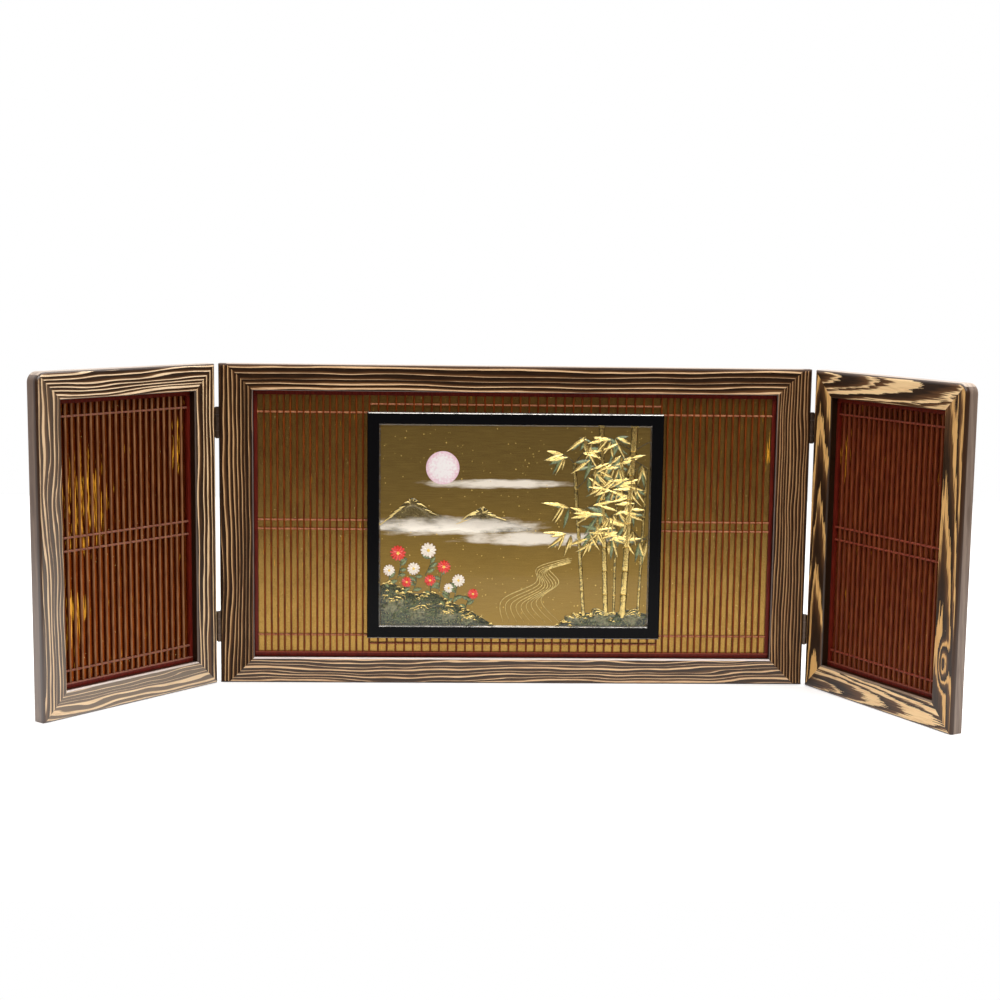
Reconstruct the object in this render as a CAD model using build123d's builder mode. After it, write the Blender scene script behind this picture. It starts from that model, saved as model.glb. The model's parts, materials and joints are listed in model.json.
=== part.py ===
"""Tabletop folding screen: a wide centre panel and two wings on small butt hinges.

Millimetres, +Z up. The origin is the middle of the centre panel's footprint, +X runs to the
viewer's right along the centre panel and -Y faces the viewer. Every panel is drawn on the plane
of its own front face, so a wing is built where it stands, folded forward at its rest angle.
"""

import os
from math import cos, radians, sin

from build123d import *

# ---------------------------------------------------------------- driving dimensions
# panels
PANEL_HEIGHT = 327.0
CENTRE_WIDTH = 600.0
WING_WIDTH = 214.3
PANEL_THICKNESS = 15.5
RAIL_WIDTH = 26.5
CENTRE_STILE_WIDTH = 34.5
WING_STILE_WIDTH = 26.5
OUTER_EDGE_RADIUS = 3.0
INNER_EDGE_RADIUS = 2.0
BACK_EDGE_CHAMFER = 0.8
WING_CORNER_RADIUS = 10.0

# how the screen stands: each wing's turn forward from lying flat in line with the centre
LEFT_REST_ANGLE = 49.2
RIGHT_REST_ANGLE = 63.2
PANEL_GAP = 2.2
PIVOT_PROUD = 0.7

# keys across the mitres, hidden inside the corners
KEY_LENGTH = 16.0
KEY_WIDTH = 12.0
KEY_THICKNESS = 2.5
KEY_DEPTH = 4.5
KEY_CLEARANCE = 0.1

# rebate behind each opening, and the layers that lie in it from front to back
REBATE_WIDTH = 5.0
LATTICE_DEPTH = 8.5
SLAT_DEPTH = 3.0
PAPER_THICKNESS = 0.4
BOARD_THICKNESS = 3.0
LAYER_CLEARANCE = 0.3
BORDER_JOINT = 0.1

# lattice
BORDER_SHOWING = 3.5
BORDER_END_SHOWING = 4.4
SLAT_WIDTH = 1.8
BAR_HEIGHT = 2.0
MIDDLE_BAYS = 33
SIDE_BAYS = 17
WING_BAYS = 21
SIDE_BAR_INSET = 17.6
SIDE_PAIR_SPREAD = 4.7
MIDDLE_BAR_INSET = 8.9
WING_BAR_INSET = 11.9
WING_PAIR_SPREAD = 6.4

# brads through the backing board, the paper and the border into the rebate's lip
BRAD_RADIUS = 0.5
BRAD_LENGTH = 10.5
BRAD_HEAD_RADIUS = 1.1
BRAD_HEAD_THICKNESS = 0.4
BRAD_CLEARANCE = 0.02
BRAD_END_MARGIN = 30.0
CENTRE_BRAD_COUNT = 5
WING_BRAD_COUNT = 2
SIDE_BRAD_COUNT = 3

# picture
PICTURE_WIDTH = 301.0
PICTURE_HEIGHT = 233.2
PICTURE_THICKNESS = 8.0
PICTURE_OVERLAP = 2.0
MOULDING_WIDTH = 13.6
MOULDING_EDGE_RADIUS = 1.8
BEVEL_WIDTH = 1.7
BEVEL_DEPTH = 2.2

# hinges
HINGE_HEIGHT = 30.5
HINGE_INSET = 59.0
BARREL_RADIUS = 2.2
PIN_RADIUS = 1.1
PIN_CLEARANCE = 0.05
PIN_HEAD_RADIUS = 1.8
PIN_HEAD_HEIGHT = 0.6
PIN_HEAD_CLEARANCE = 0.1
OUTER_KNUCKLE = 7.2
KNUCKLE_GAP = 0.25
KNUCKLE_CLEARANCE = 0.3
LEAF_THICKNESS = 0.8
LEAF_REACH = 13.0
LEAF_CORNER_RADIUS = 1.0
SCREW_RADIUS = 0.9
SCREW_HEAD_RADIUS = 1.6
SCREW_LENGTH = 9.5
SCREW_SPREAD = 9.5
SCREW_DEPTH = 8.0
SCREW_CLEARANCE = 0.05
SCREW_SLOT_WIDTH = 0.4
SCREW_SLOT_DEPTH = 0.35

# ---------------------------------------------------------------- sizes that follow
MID_HEIGHT = PANEL_HEIGHT / 2
OPENING_HEIGHT = PANEL_HEIGHT - 2 * RAIL_WIDTH
FIELD_HEIGHT = OPENING_HEIGHT - 2 * BORDER_END_SHOWING
MIDDLE_EDGE = PICTURE_WIDTH / 2 - PICTURE_OVERLAP
MIDDLE_PITCH = 2 * MIDDLE_EDGE / MIDDLE_BAYS
PAPER_DEPTH = LATTICE_DEPTH + SLAT_DEPTH
BOARD_DEPTH = PAPER_DEPTH + PAPER_THICKNESS
BOARD_BACK = BOARD_DEPTH + BOARD_THICKNESS
SIDES = {"left": -1, "right": 1}
REST_ANGLES = {"left": LEFT_REST_ANGLE, "right": RIGHT_REST_ANGLE}
HINGE_BOTTOMS = {
    "upper": PANEL_HEIGHT - HINGE_INSET - HINGE_HEIGHT / 2,
    "lower": HINGE_INSET - HINGE_HEIGHT / 2,
}
OUTER_SPANS = [(0, OUTER_KNUCKLE), (HINGE_HEIGHT - OUTER_KNUCKLE, HINGE_HEIGHT)]
MIDDLE_SPANS = [(OUTER_KNUCKLE + KNUCKLE_GAP, HINGE_HEIGHT - OUTER_KNUCKLE - KNUCKLE_GAP)]

os.makedirs("parts", exist_ok=True)


def finish(builder, name):
    """Labels a finished piece and writes it as its own STEP file."""
    builder.part.label = name
    export_step(builder.part, f"parts/{name}.step")


# ---------------------------------------------------------------- where the panels stand
def across_wing(side):
    """Direction across a wing from left to right, folded forward at its rest angle."""
    angle = radians(REST_ANGLES[side])
    return Vector(cos(angle), -SIDES[side] * sin(angle), 0)


def pivot_point(side):
    """Foot of a hinge axis: in the middle of the gap, just proud of the front faces."""
    return Vector(
        SIDES[side] * (CENTRE_WIDTH + PANEL_GAP) / 2,
        -PANEL_THICKNESS / 2 - PIVOT_PROUD,
        0,
    )


def wing_front(side):
    """Plane of a wing's front face, with its origin at the middle of the bottom edge."""
    across = across_wing(side)
    back = Vector(0, 0, 1).cross(across)
    reach = SIDES[side] * (PANEL_GAP + WING_WIDTH) / 2
    foot = pivot_point(side) + across * reach + back * PIVOT_PROUD
    return Plane(origin=foot, x_dir=across, z_dir=-back)


CENTRE_FRONT = Plane(origin=(0, -PANEL_THICKNESS / 2, 0), x_dir=(1, 0, 0), z_dir=(0, -1, 0))


# ---------------------------------------------------------------- frames
def corners(width, height):
    """The four corners of a rectangle about mid height, as sketch points."""
    return [
        (x, MID_HEIGHT + y)
        for x in (-width / 2, width / 2)
        for y in (-height / 2, height / 2)
    ]


def brad_points(width, stile, along):
    """Brad places round an opening, in the middle of the rebate."""
    inset = REBATE_WIDTH / 2
    half_width = width / 2 - stile + inset
    half_height = OPENING_HEIGHT / 2 + inset
    run = 2 * (half_width - BRAD_END_MARGIN)
    rise = 2 * (half_height - BRAD_END_MARGIN)
    xs = [-run / 2 + run * step / (along - 1) for step in range(along)]
    zs = [MID_HEIGHT - rise / 2 + rise * step / (SIDE_BRAD_COUNT - 1) for step in range(SIDE_BRAD_COUNT)]
    top_and_bottom = [(x, MID_HEIGHT + end * half_height) for x in xs for end in (-1, 1)]
    sides = [(end * half_width, z) for z in zs for end in (-1, 1)]
    return top_and_bottom + sides


def mitre_keys(name, front, width, stile):
    """Four thin keys, one lying square across each mitre."""
    middle = (width - 2 * stile + RAIL_WIDTH, OPENING_HEIGHT + RAIL_WIDTH)
    with BuildPart() as keys:
        with BuildSketch(front.offset(-KEY_DEPTH)):
            for x, z in corners(*middle):
                turn = -45 if x * (z - MID_HEIGHT) > 0 else 45
                with Locations((x, z)):
                    Rectangle(KEY_LENGTH, KEY_WIDTH, rotation=turn)
        extrude(amount=-KEY_THICKNESS)
    finish(keys, name)


def frame_blank(front, width, stile, along, round_end=0):
    """A whole panel frame before it is parted at the mitres."""
    middle = (width - 2 * stile + RAIL_WIDTH, OPENING_HEIGHT + RAIL_WIDTH)
    with BuildPart() as blank:
        with BuildSketch(front) as outline:
            with Locations((0, MID_HEIGHT)):
                Rectangle(width, PANEL_HEIGHT)
            if round_end:
                top = outline.vertices().group_by(Axis.Y)[-1]
                outer = top.sort_by(Axis.X)[-1 if round_end > 0 else 0]
                fillet(outer, WING_CORNER_RADIUS)
        extrude(amount=-PANEL_THICKNESS)
        with BuildSketch(front):
            with Locations((0, MID_HEIGHT)):
                Rectangle(width - 2 * stile, OPENING_HEIGHT)
        extrude(amount=-PANEL_THICKNESS, mode=Mode.SUBTRACT)
        with BuildSketch(front.offset(-LATTICE_DEPTH)):
            with Locations((0, MID_HEIGHT)):
                Rectangle(width - 2 * stile + 2 * REBATE_WIDTH, OPENING_HEIGHT + 2 * REBATE_WIDTH)
        extrude(amount=LATTICE_DEPTH - PANEL_THICKNESS, mode=Mode.SUBTRACT)
        towards_viewer = Axis(front.origin, front.z_dir)
        opening_edge = blank.faces().sort_by(towards_viewer)[-1].inner_wires()[0]
        fillet(opening_edge.edges(), INNER_EDGE_RADIUS)
        outer_edge = blank.faces().sort_by(towards_viewer)[-1].outer_wire()
        fillet(outer_edge.edges(), OUTER_EDGE_RADIUS)
        back_edge = blank.faces().sort_by(towards_viewer)[0].outer_wire()
        chamfer(back_edge.edges(), BACK_EDGE_CHAMFER)
        with BuildSketch(front.offset(KEY_CLEARANCE - KEY_DEPTH)):
            for x, z in corners(*middle):
                turn = -45 if x * (z - MID_HEIGHT) > 0 else 45
                with Locations((x, z)):
                    Rectangle(
                        KEY_LENGTH + 2 * KEY_CLEARANCE,
                        KEY_WIDTH + 2 * KEY_CLEARANCE,
                        rotation=turn,
                    )
        extrude(amount=-KEY_THICKNESS - 2 * KEY_CLEARANCE, mode=Mode.SUBTRACT)
        with BuildSketch(front.offset(BRAD_LENGTH - BOARD_BACK)):
            with Locations(*brad_points(width, stile, along)):
                Circle(BRAD_RADIUS + BRAD_CLEARANCE)
        extrude(amount=-BRAD_LENGTH, mode=Mode.SUBTRACT)
    return blank.part


def rail_outline(width, stile, end):
    """Sketch points of the bottom (-1) or top (+1) rail, with its 45 degree ends."""
    inner = width / 2 - stile
    outer = inner + RAIL_WIDTH
    near = MID_HEIGHT + end * OPENING_HEIGHT / 2
    far = MID_HEIGHT + end * PANEL_HEIGHT / 2
    return [(-inner, near), (inner, near), (outer, far), (-outer, far)]


def frame_members(names, blank, front, width, stile, seats):
    """Parts the frame into two rails and two stiles; names run top, bottom, left, right."""
    for name, end in zip(names[:2], (1, -1)):
        with BuildPart() as rail:
            with BuildSketch(front):
                Polygon(*rail_outline(width, stile, end))
            extrude(amount=-PANEL_THICKNESS)
            add(blank, mode=Mode.INTERSECT)
        finish(rail, name)
    for name, end in zip(names[2:], (-1, 1)):
        with BuildPart() as stile_piece:
            with BuildSketch(front):
                with Locations((end * (width - stile) / 2, MID_HEIGHT)):
                    Rectangle(stile, PANEL_HEIGHT)
                Polygon(*rail_outline(width, stile, 1), mode=Mode.SUBTRACT)
                Polygon(*rail_outline(width, stile, -1), mode=Mode.SUBTRACT)
            extrude(amount=-PANEL_THICKNESS)
            add(blank, mode=Mode.INTERSECT)
            for seat in seats[end]:
                with Locations(seat):
                    Cylinder(
                        SCREW_RADIUS + SCREW_CLEARANCE,
                        SCREW_LENGTH,
                        align=(Align.CENTER, Align.CENTER, Align.MAX),
                        mode=Mode.SUBTRACT,
                    )
        finish(stile_piece, name)


# ---------------------------------------------------------------- lattice and backing
def lattice_border(name, front, width, stile, points):
    """Border strips in the rebate: full-length top and bottom, uprights between them."""
    seat_width = width - 2 * stile + 2 * (REBATE_WIDTH - LAYER_CLEARANCE)
    seat_height = OPENING_HEIGHT + 2 * (REBATE_WIDTH - LAYER_CLEARANCE)
    strip = REBATE_WIDTH - LAYER_CLEARANCE + BORDER_SHOWING
    end_strip = REBATE_WIDTH - LAYER_CLEARANCE + BORDER_END_SHOWING
    with BuildPart() as border:
        with BuildSketch(front.offset(-LATTICE_DEPTH)):
            for end in (-1, 1):
                with Locations((0, MID_HEIGHT + end * (seat_height - end_strip) / 2)):
                    Rectangle(seat_width, end_strip)
                with Locations((end * (seat_width - strip) / 2, MID_HEIGHT)):
                    Rectangle(strip, seat_height - 2 * end_strip - 2 * BORDER_JOINT)
        extrude(amount=-SLAT_DEPTH)
        with BuildSketch(front.offset(-LATTICE_DEPTH)):
            with Locations(*points):
                Circle(BRAD_RADIUS + BRAD_CLEARANCE)
        extrude(amount=-SLAT_DEPTH, mode=Mode.SUBTRACT)
    finish(border, name)


def bar_heights(inset, spread=0):
    """Heights from mid height: a bar in from each end of the field, and a pair at the middle."""
    reach = FIELD_HEIGHT / 2 - inset
    pair = (-spread, spread) if spread else ()
    return [-reach, *pair, reach]


def draw_bars(ends, heights):
    """Draws bars between two ends, at heights counted from mid height, in the open sketch."""
    with Locations(*[((ends[0] + ends[1]) / 2, MID_HEIGHT + height) for height in heights]):
        Rectangle(ends[1] - ends[0], BAR_HEIGHT)


def upright_slats(name, front, xs, bar_sets):
    """Upright slats, their backs notched half through where the bars lap behind them."""
    with BuildPart() as slats:
        with BuildSketch(front.offset(-LATTICE_DEPTH)):
            with Locations(*[(x, MID_HEIGHT) for x in xs]):
                Rectangle(SLAT_WIDTH, FIELD_HEIGHT)
        extrude(amount=-SLAT_DEPTH)
        with BuildSketch(front.offset(-LATTICE_DEPTH - SLAT_DEPTH / 2)):
            for ends, heights in bar_sets:
                draw_bars(ends, heights)
        extrude(amount=-SLAT_DEPTH / 2, mode=Mode.SUBTRACT)
    finish(slats, name)


def cross_bars(name, front, ends, heights, xs):
    """Cross bars between two ends, their fronts notched half through behind each slat."""
    with BuildPart() as bars:
        with BuildSketch(front.offset(-LATTICE_DEPTH)):
            draw_bars(ends, heights)
        extrude(amount=-SLAT_DEPTH)
        with BuildSketch(front.offset(-LATTICE_DEPTH)):
            with Locations(*[(x, MID_HEIGHT) for x in xs]):
                Rectangle(SLAT_WIDTH, FIELD_HEIGHT)
        extrude(amount=-SLAT_DEPTH / 2, mode=Mode.SUBTRACT)
    finish(bars, name)


def backing(prefix, front, width, stile, points):
    """Gold paper, backing board and brads that close a panel from behind."""
    seat_width = width - 2 * stile + 2 * (REBATE_WIDTH - LAYER_CLEARANCE)
    seat_height = OPENING_HEIGHT + 2 * (REBATE_WIDTH - LAYER_CLEARANCE)
    layers = (("gold_paper", PAPER_DEPTH, PAPER_THICKNESS), ("back_board", BOARD_DEPTH, BOARD_THICKNESS))
    for layer, depth, thickness in layers:
        with BuildPart() as sheet:
            with BuildSketch(front.offset(-depth)):
                with Locations((0, MID_HEIGHT)):
                    Rectangle(seat_width, seat_height)
                with Locations(*points):
                    Circle(BRAD_RADIUS + BRAD_CLEARANCE, mode=Mode.SUBTRACT)
            extrude(amount=-thickness)
        finish(sheet, f"{prefix}_{layer}")
    with BuildPart() as brads:
        with BuildSketch(front.offset(-BOARD_BACK)):
            with Locations(*points):
                Circle(BRAD_RADIUS)
        extrude(amount=BRAD_LENGTH)
        with BuildSketch(front.offset(-BOARD_BACK)):
            with Locations(*points):
                Circle(BRAD_HEAD_RADIUS)
        extrude(amount=-BRAD_HEAD_THICKNESS)
    finish(brads, f"{prefix}_back_brads")


# ---------------------------------------------------------------- hinges
def hinge_plane(side, end, across):
    """Horizontal plane through the foot of a hinge, with its origin on the pin's axis."""
    foot = pivot_point(side) + Vector(0, 0, HINGE_BOTTOMS[end])
    return Plane(origin=foot, x_dir=across, z_dir=(0, 0, 1))


def leaf_seats(side, end, across, wood):
    """Screw places on the gap side of one leaf, each facing out of the wood."""
    plane = hinge_plane(side, end, across)
    on_leaf = across * wood * (PANEL_GAP / 2 - LEAF_THICKNESS)
    middle = plane.origin + on_leaf + plane.y_dir * (PIVOT_PROUD + SCREW_DEPTH)
    heights = (HINGE_HEIGHT / 2 - SCREW_SPREAD, HINGE_HEIGHT / 2 + SCREW_SPREAD)
    return [
        Plane(origin=middle + Vector(0, 0, height), x_dir=(0, 0, 1), z_dir=across * -wood)
        for height in heights
    ]


def panel_seats(side, across, wood):
    """Every screw place on the panel that lies on one side of a gap."""
    return [seat for end in HINGE_BOTTOMS for seat in leaf_seats(side, end, across, wood)]


def hinge_leaf(name, plane, wood, own_spans, other_spans, seats):
    """One leaf: a plate on the wood's side, its own knuckles, and room for the others."""
    plate_length = PIVOT_PROUD + LEAF_REACH
    with BuildPart() as leaf:
        with BuildSketch(plane):
            with Locations((wood * (PANEL_GAP - LEAF_THICKNESS) / 2, plate_length / 2)):
                Rectangle(LEAF_THICKNESS, plate_length)
        extrude(amount=HINGE_HEIGHT)
        free_end = leaf.faces().sort_by(Axis(plane.origin, plane.y_dir))[-1]
        tips = free_end.edges().group_by(Axis.Z)
        fillet(tips[0] + tips[-1], LEAF_CORNER_RADIUS)
        for low, high in other_spans:
            with BuildSketch(plane.offset(low - KNUCKLE_GAP)):
                Circle(BARREL_RADIUS + KNUCKLE_CLEARANCE)
            extrude(amount=high - low + 2 * KNUCKLE_GAP, mode=Mode.SUBTRACT)
        for low, high in own_spans:
            with BuildSketch(plane.offset(low)):
                Circle(BARREL_RADIUS)
            extrude(amount=high - low)
        with BuildSketch(plane):
            Circle(PIN_RADIUS + PIN_CLEARANCE)
        extrude(amount=HINGE_HEIGHT, mode=Mode.SUBTRACT)
        with Locations(*seats):
            CounterSinkHole(
                SCREW_RADIUS + SCREW_CLEARANCE,
                SCREW_HEAD_RADIUS + SCREW_CLEARANCE,
                LEAF_THICKNESS,
                counter_sink_angle=90,
            )
    finish(leaf, name)


def hinge_pin(name, plane):
    """A pin through the knuckles, held by a low domed head at each end."""
    below = plane.offset(-PIN_HEAD_CLEARANCE)
    above = plane.offset(HINGE_HEIGHT + PIN_HEAD_CLEARANCE)
    with BuildPart() as pin:
        with BuildSketch(below):
            Circle(PIN_RADIUS)
        extrude(amount=HINGE_HEIGHT + 2 * PIN_HEAD_CLEARANCE)
        with BuildSketch(below):
            Circle(PIN_HEAD_RADIUS)
        extrude(amount=-PIN_HEAD_HEIGHT)
        with BuildSketch(above):
            Circle(PIN_HEAD_RADIUS)
        extrude(amount=PIN_HEAD_HEIGHT)
        rims = pin.edges().filter_by(GeomType.CIRCLE).group_by(Axis.Z)
        fillet(rims[0] + rims[-1], PIN_HEAD_HEIGHT / 2)
    finish(pin, name)


def hinge_screws(name, seats):
    """Countersunk slotted screws, their heads flush with the leaves."""
    head_height = SCREW_HEAD_RADIUS - SCREW_RADIUS
    into_wood = (Align.CENTER, Align.CENTER, Align.MAX)
    with BuildPart() as screws:
        with Locations(*seats):
            Cylinder(SCREW_RADIUS, SCREW_LENGTH, align=into_wood)
            Cone(SCREW_RADIUS, SCREW_HEAD_RADIUS, head_height, align=into_wood)
            Box(
                2 * SCREW_HEAD_RADIUS,
                SCREW_SLOT_WIDTH,
                SCREW_SLOT_DEPTH,
                align=into_wood,
                mode=Mode.SUBTRACT,
            )
    finish(screws, name)


# ---------------------------------------------------------------- picture
def picture_frame(front):
    """Four black mouldings, mitred at the corners and bevelled down to the board."""
    face = front.offset(PICTURE_THICKNESS - LATTICE_DEPTH)
    with BuildPart() as blank:
        with BuildSketch(face):
            with Locations((0, MID_HEIGHT)):
                Rectangle(PICTURE_WIDTH, PICTURE_HEIGHT)
                Rectangle(
                    PICTURE_WIDTH - 2 * MOULDING_WIDTH,
                    PICTURE_HEIGHT - 2 * MOULDING_WIDTH,
                    mode=Mode.SUBTRACT,
                )
        extrude(amount=-PICTURE_THICKNESS)
        towards_viewer = Axis(face.origin, face.z_dir)
        rim = blank.faces().sort_by(towards_viewer)[-1]
        chamfer(rim.inner_wires()[0].edges(), BEVEL_WIDTH, BEVEL_DEPTH, reference=rim)
        rim = blank.faces().sort_by(towards_viewer)[-1]
        fillet(rim.outer_wire().edges(), MOULDING_EDGE_RADIUS)
    half_width = PICTURE_WIDTH / 2
    half_height = PICTURE_HEIGHT / 2
    inner_width = half_width - MOULDING_WIDTH
    inner_height = half_height - MOULDING_WIDTH
    for name, end in (("top", 1), ("bottom", -1)):
        near = MID_HEIGHT + end * inner_height
        far = MID_HEIGHT + end * half_height
        with BuildPart() as moulding:
            with BuildSketch(face):
                Polygon((-inner_width, near), (inner_width, near), (half_width, far), (-half_width, far))
            extrude(amount=-PICTURE_THICKNESS)
            add(blank.part, mode=Mode.INTERSECT)
        finish(moulding, f"picture_{name}_moulding")
    for name, end in (("left", -1), ("right", 1)):
        low = MID_HEIGHT - half_height
        high = MID_HEIGHT + half_height
        with BuildPart() as moulding:
            with BuildSketch(face):
                Polygon(
                    (end * half_width, low),
                    (end * half_width, high),
                    (end * inner_width, high - MOULDING_WIDTH),
                    (end * inner_width, low + MOULDING_WIDTH),
                )
            extrude(amount=-PICTURE_THICKNESS)
            add(blank.part, mode=Mode.INTERSECT)
        finish(moulding, f"picture_{name}_moulding")
    with BuildPart() as board:
        with BuildSketch(face.offset(-BEVEL_DEPTH)):
            with Locations((0, MID_HEIGHT)):
                Rectangle(PICTURE_WIDTH - 2 * MOULDING_WIDTH, PICTURE_HEIGHT - 2 * MOULDING_WIDTH)
        extrude(amount=BEVEL_DEPTH - PICTURE_THICKNESS)
    finish(board, "picture_board")


# ---------------------------------------------------------------- centre panel
centre_across = Vector(1, 0, 0)
centre_size = (CENTRE_WIDTH, CENTRE_STILE_WIDTH)
centre_seats = {sign: panel_seats(side, centre_across, -sign) for side, sign in SIDES.items()}
centre_points = brad_points(*centre_size, CENTRE_BRAD_COUNT)
centre_blank = frame_blank(CENTRE_FRONT, *centre_size, CENTRE_BRAD_COUNT)
centre_names = [f"centre_{member}" for member in ("top_rail", "bottom_rail", "left_stile", "right_stile")]
frame_members(centre_names, centre_blank, CENTRE_FRONT, *centre_size, centre_seats)
mitre_keys("centre_mitre_keys", CENTRE_FRONT, *centre_size)
lattice_border("centre_lattice_border", CENTRE_FRONT, *centre_size, centre_points)
backing("centre", CENTRE_FRONT, *centre_size, centre_points)

field_edge = CENTRE_WIDTH / 2 - CENTRE_STILE_WIDTH - BORDER_SHOWING
side_pitch = (field_edge - MIDDLE_EDGE) / SIDE_BAYS
side_heights = bar_heights(SIDE_BAR_INSET, SIDE_PAIR_SPREAD)
middle_heights = bar_heights(MIDDLE_BAR_INSET)
middle_xs = [-MIDDLE_EDGE + MIDDLE_PITCH * step for step in range(MIDDLE_BAYS + 1)]
middle_ends = (-MIDDLE_EDGE - SLAT_WIDTH / 2, MIDDLE_EDGE + SLAT_WIDTH / 2)
cross_bars("centre_middle_bars", CENTRE_FRONT, middle_ends, middle_heights, middle_xs)
bar_sets = [(middle_ends, middle_heights)]
for side, sign in SIDES.items():
    side_xs = [sign * (MIDDLE_EDGE + side_pitch * step) for step in range(1, SIDE_BAYS)]
    side_ends = sorted((sign * (MIDDLE_EDGE - SLAT_WIDTH / 2), sign * field_edge))
    upright_slats(f"centre_{side}_slats", CENTRE_FRONT, side_xs, [(side_ends, side_heights)])
    lapped_xs = side_xs + [sign * MIDDLE_EDGE]
    cross_bars(f"centre_{side}_bars", CENTRE_FRONT, side_ends, side_heights, lapped_xs)
    bar_sets.append((side_ends, side_heights))
upright_slats("centre_middle_slats", CENTRE_FRONT, middle_xs, bar_sets)
picture_frame(CENTRE_FRONT)
hinge_screws("centre_hinge_screws", centre_seats[-1] + centre_seats[1])

# ---------------------------------------------------------------- wings and their hinges
wing_size = (WING_WIDTH, WING_STILE_WIDTH)
wing_edge = WING_WIDTH / 2 - WING_STILE_WIDTH - BORDER_SHOWING
wing_pitch = 2 * wing_edge / WING_BAYS
wing_xs = [-wing_edge + wing_pitch * step for step in range(1, WING_BAYS)]
wing_ends = (-wing_edge, wing_edge)
wing_heights = bar_heights(WING_BAR_INSET, WING_PAIR_SPREAD)
wing_points = brad_points(*wing_size, WING_BRAD_COUNT)
for side, sign in SIDES.items():
    wing = f"{side}_wing"
    front = wing_front(side)
    across = across_wing(side)
    wing_seats = panel_seats(side, across, sign)
    stiles = [f"{wing}_hinge_stile", f"{wing}_outer_stile"][::sign]
    names = [f"{wing}_top_rail", f"{wing}_bottom_rail"] + stiles
    blank = frame_blank(front, *wing_size, WING_BRAD_COUNT, round_end=sign)
    frame_members(names, blank, front, *wing_size, {-sign: wing_seats, sign: []})
    mitre_keys(f"{wing}_mitre_keys", front, *wing_size)
    lattice_border(f"{wing}_lattice_border", front, *wing_size, wing_points)
    backing(wing, front, *wing_size, wing_points)
    upright_slats(f"{wing}_slats", front, wing_xs, [(wing_ends, wing_heights)])
    cross_bars(f"{wing}_bars", front, wing_ends, wing_heights, wing_xs)
    hinge_screws(f"{wing}_hinge_screws", wing_seats)

    for end in HINGE_BOTTOMS:
        hinge = f"{side}_{end}_hinge"
        at_centre = hinge_plane(side, end, centre_across)
        at_wing = hinge_plane(side, end, across)
        centre_pair = leaf_seats(side, end, centre_across, -sign)
        wing_pair = leaf_seats(side, end, across, sign)
        hinge_leaf(f"{hinge}_centre_leaf", at_centre, -sign, MIDDLE_SPANS, OUTER_SPANS, centre_pair)
        hinge_leaf(f"{hinge}_wing_leaf", at_wing, sign, OUTER_SPANS, MIDDLE_SPANS, wing_pair)
        hinge_pin(f"{hinge}_pin", at_centre)
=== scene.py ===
# %% [markdown]
# # A tabletop folding screen
#
# The screen stands on a shelf behind a display. A wide centre panel carries a framed lacquer
# picture on a red lattice over gold paper, and two narrow wings fold forward on butt hinges.
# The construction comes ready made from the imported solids. This lesson gives it its surfaces:
# burnt grain on the frames, rounded lacquered strips, gold leaf, and the raised picture.

# %% Load the construction
import json
from itertools import product
from math import cos, pi, radians, sin
from random import Random

import bmesh
import bpy
from mathutils import Matrix, Vector, noise


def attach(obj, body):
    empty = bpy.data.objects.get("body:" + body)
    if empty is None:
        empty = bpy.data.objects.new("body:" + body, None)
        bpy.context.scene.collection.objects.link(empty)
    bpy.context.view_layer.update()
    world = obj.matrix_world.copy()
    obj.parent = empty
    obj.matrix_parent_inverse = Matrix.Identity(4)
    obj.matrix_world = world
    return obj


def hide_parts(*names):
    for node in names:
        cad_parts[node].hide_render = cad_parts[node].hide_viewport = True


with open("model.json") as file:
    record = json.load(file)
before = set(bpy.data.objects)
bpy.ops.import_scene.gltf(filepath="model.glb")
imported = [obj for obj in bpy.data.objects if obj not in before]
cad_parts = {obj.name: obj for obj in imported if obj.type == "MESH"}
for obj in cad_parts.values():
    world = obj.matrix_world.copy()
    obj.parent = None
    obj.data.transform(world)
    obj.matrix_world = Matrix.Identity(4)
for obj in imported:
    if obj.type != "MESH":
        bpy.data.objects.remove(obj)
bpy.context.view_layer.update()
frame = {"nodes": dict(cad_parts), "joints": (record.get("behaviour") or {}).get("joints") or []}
MM = 0.001

# %% [markdown]
# ## Node helpers
#
# Every finish here is a small network of nodes. Writing a network by hand means three steps
# over and over: add a node, set its options, connect its sockets. One helper does all three,
# so a finish reads like a recipe. A socket given another node's output becomes a link, and a
# plain value is typed into the socket itself.


# %% Node helpers
def make(tree, kind, inputs=None, **settings):
    """Adds a node, sets its options, and fills its sockets with links or plain values."""
    made = tree.nodes.new(kind)
    for option, value in settings.items():
        setattr(made, option, value)
    for key, value in (inputs or {}).items():
        if isinstance(value, bpy.types.NodeSocket):
            tree.links.new(value, made.inputs[key])
        else:
            made.inputs[key].default_value = value
    return made


def maths(tree, operation, first, second=0.0):
    """One step of arithmetic."""
    return make(tree, "ShaderNodeMath", {0: first, 1: second}, operation=operation).outputs[0]


def chain(operation):
    """A helper that joins any number of values by one kind of arithmetic."""

    def joined(tree, first, *others):
        for other in others:
            first = maths(tree, operation, first, other)
        return first

    return joined


plus, minus, times, largest = map(chain, ("ADD", "SUBTRACT", "MULTIPLY", "MAXIMUM"))


def vector(tree, x, y, z):
    """Three values joined into one vector."""
    return make(tree, "ShaderNodeCombineXYZ", {0: x, 1: y, 2: z}).outputs[0]


def parts(tree, place):
    """A vector's X, Y and Z."""
    return make(tree, "ShaderNodeSeparateXYZ", {0: place}).outputs


# %% Pattern helpers
def cloud(tree, place, scale, detail=2.0, roughness=0.5):
    """Soft noise from 0 to 1."""
    inputs = {"Vector": place, "Scale": scale, "Detail": detail, "Roughness": roughness}
    return make(tree, "ShaderNodeTexNoise", inputs).outputs[0]


def stretched(tree, place, scale):
    """The same place, scaled by axis, for a pattern that runs one way."""
    return make(tree, "ShaderNodeMapping", {"Vector": place, "Scale": scale}).outputs[0]


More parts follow.
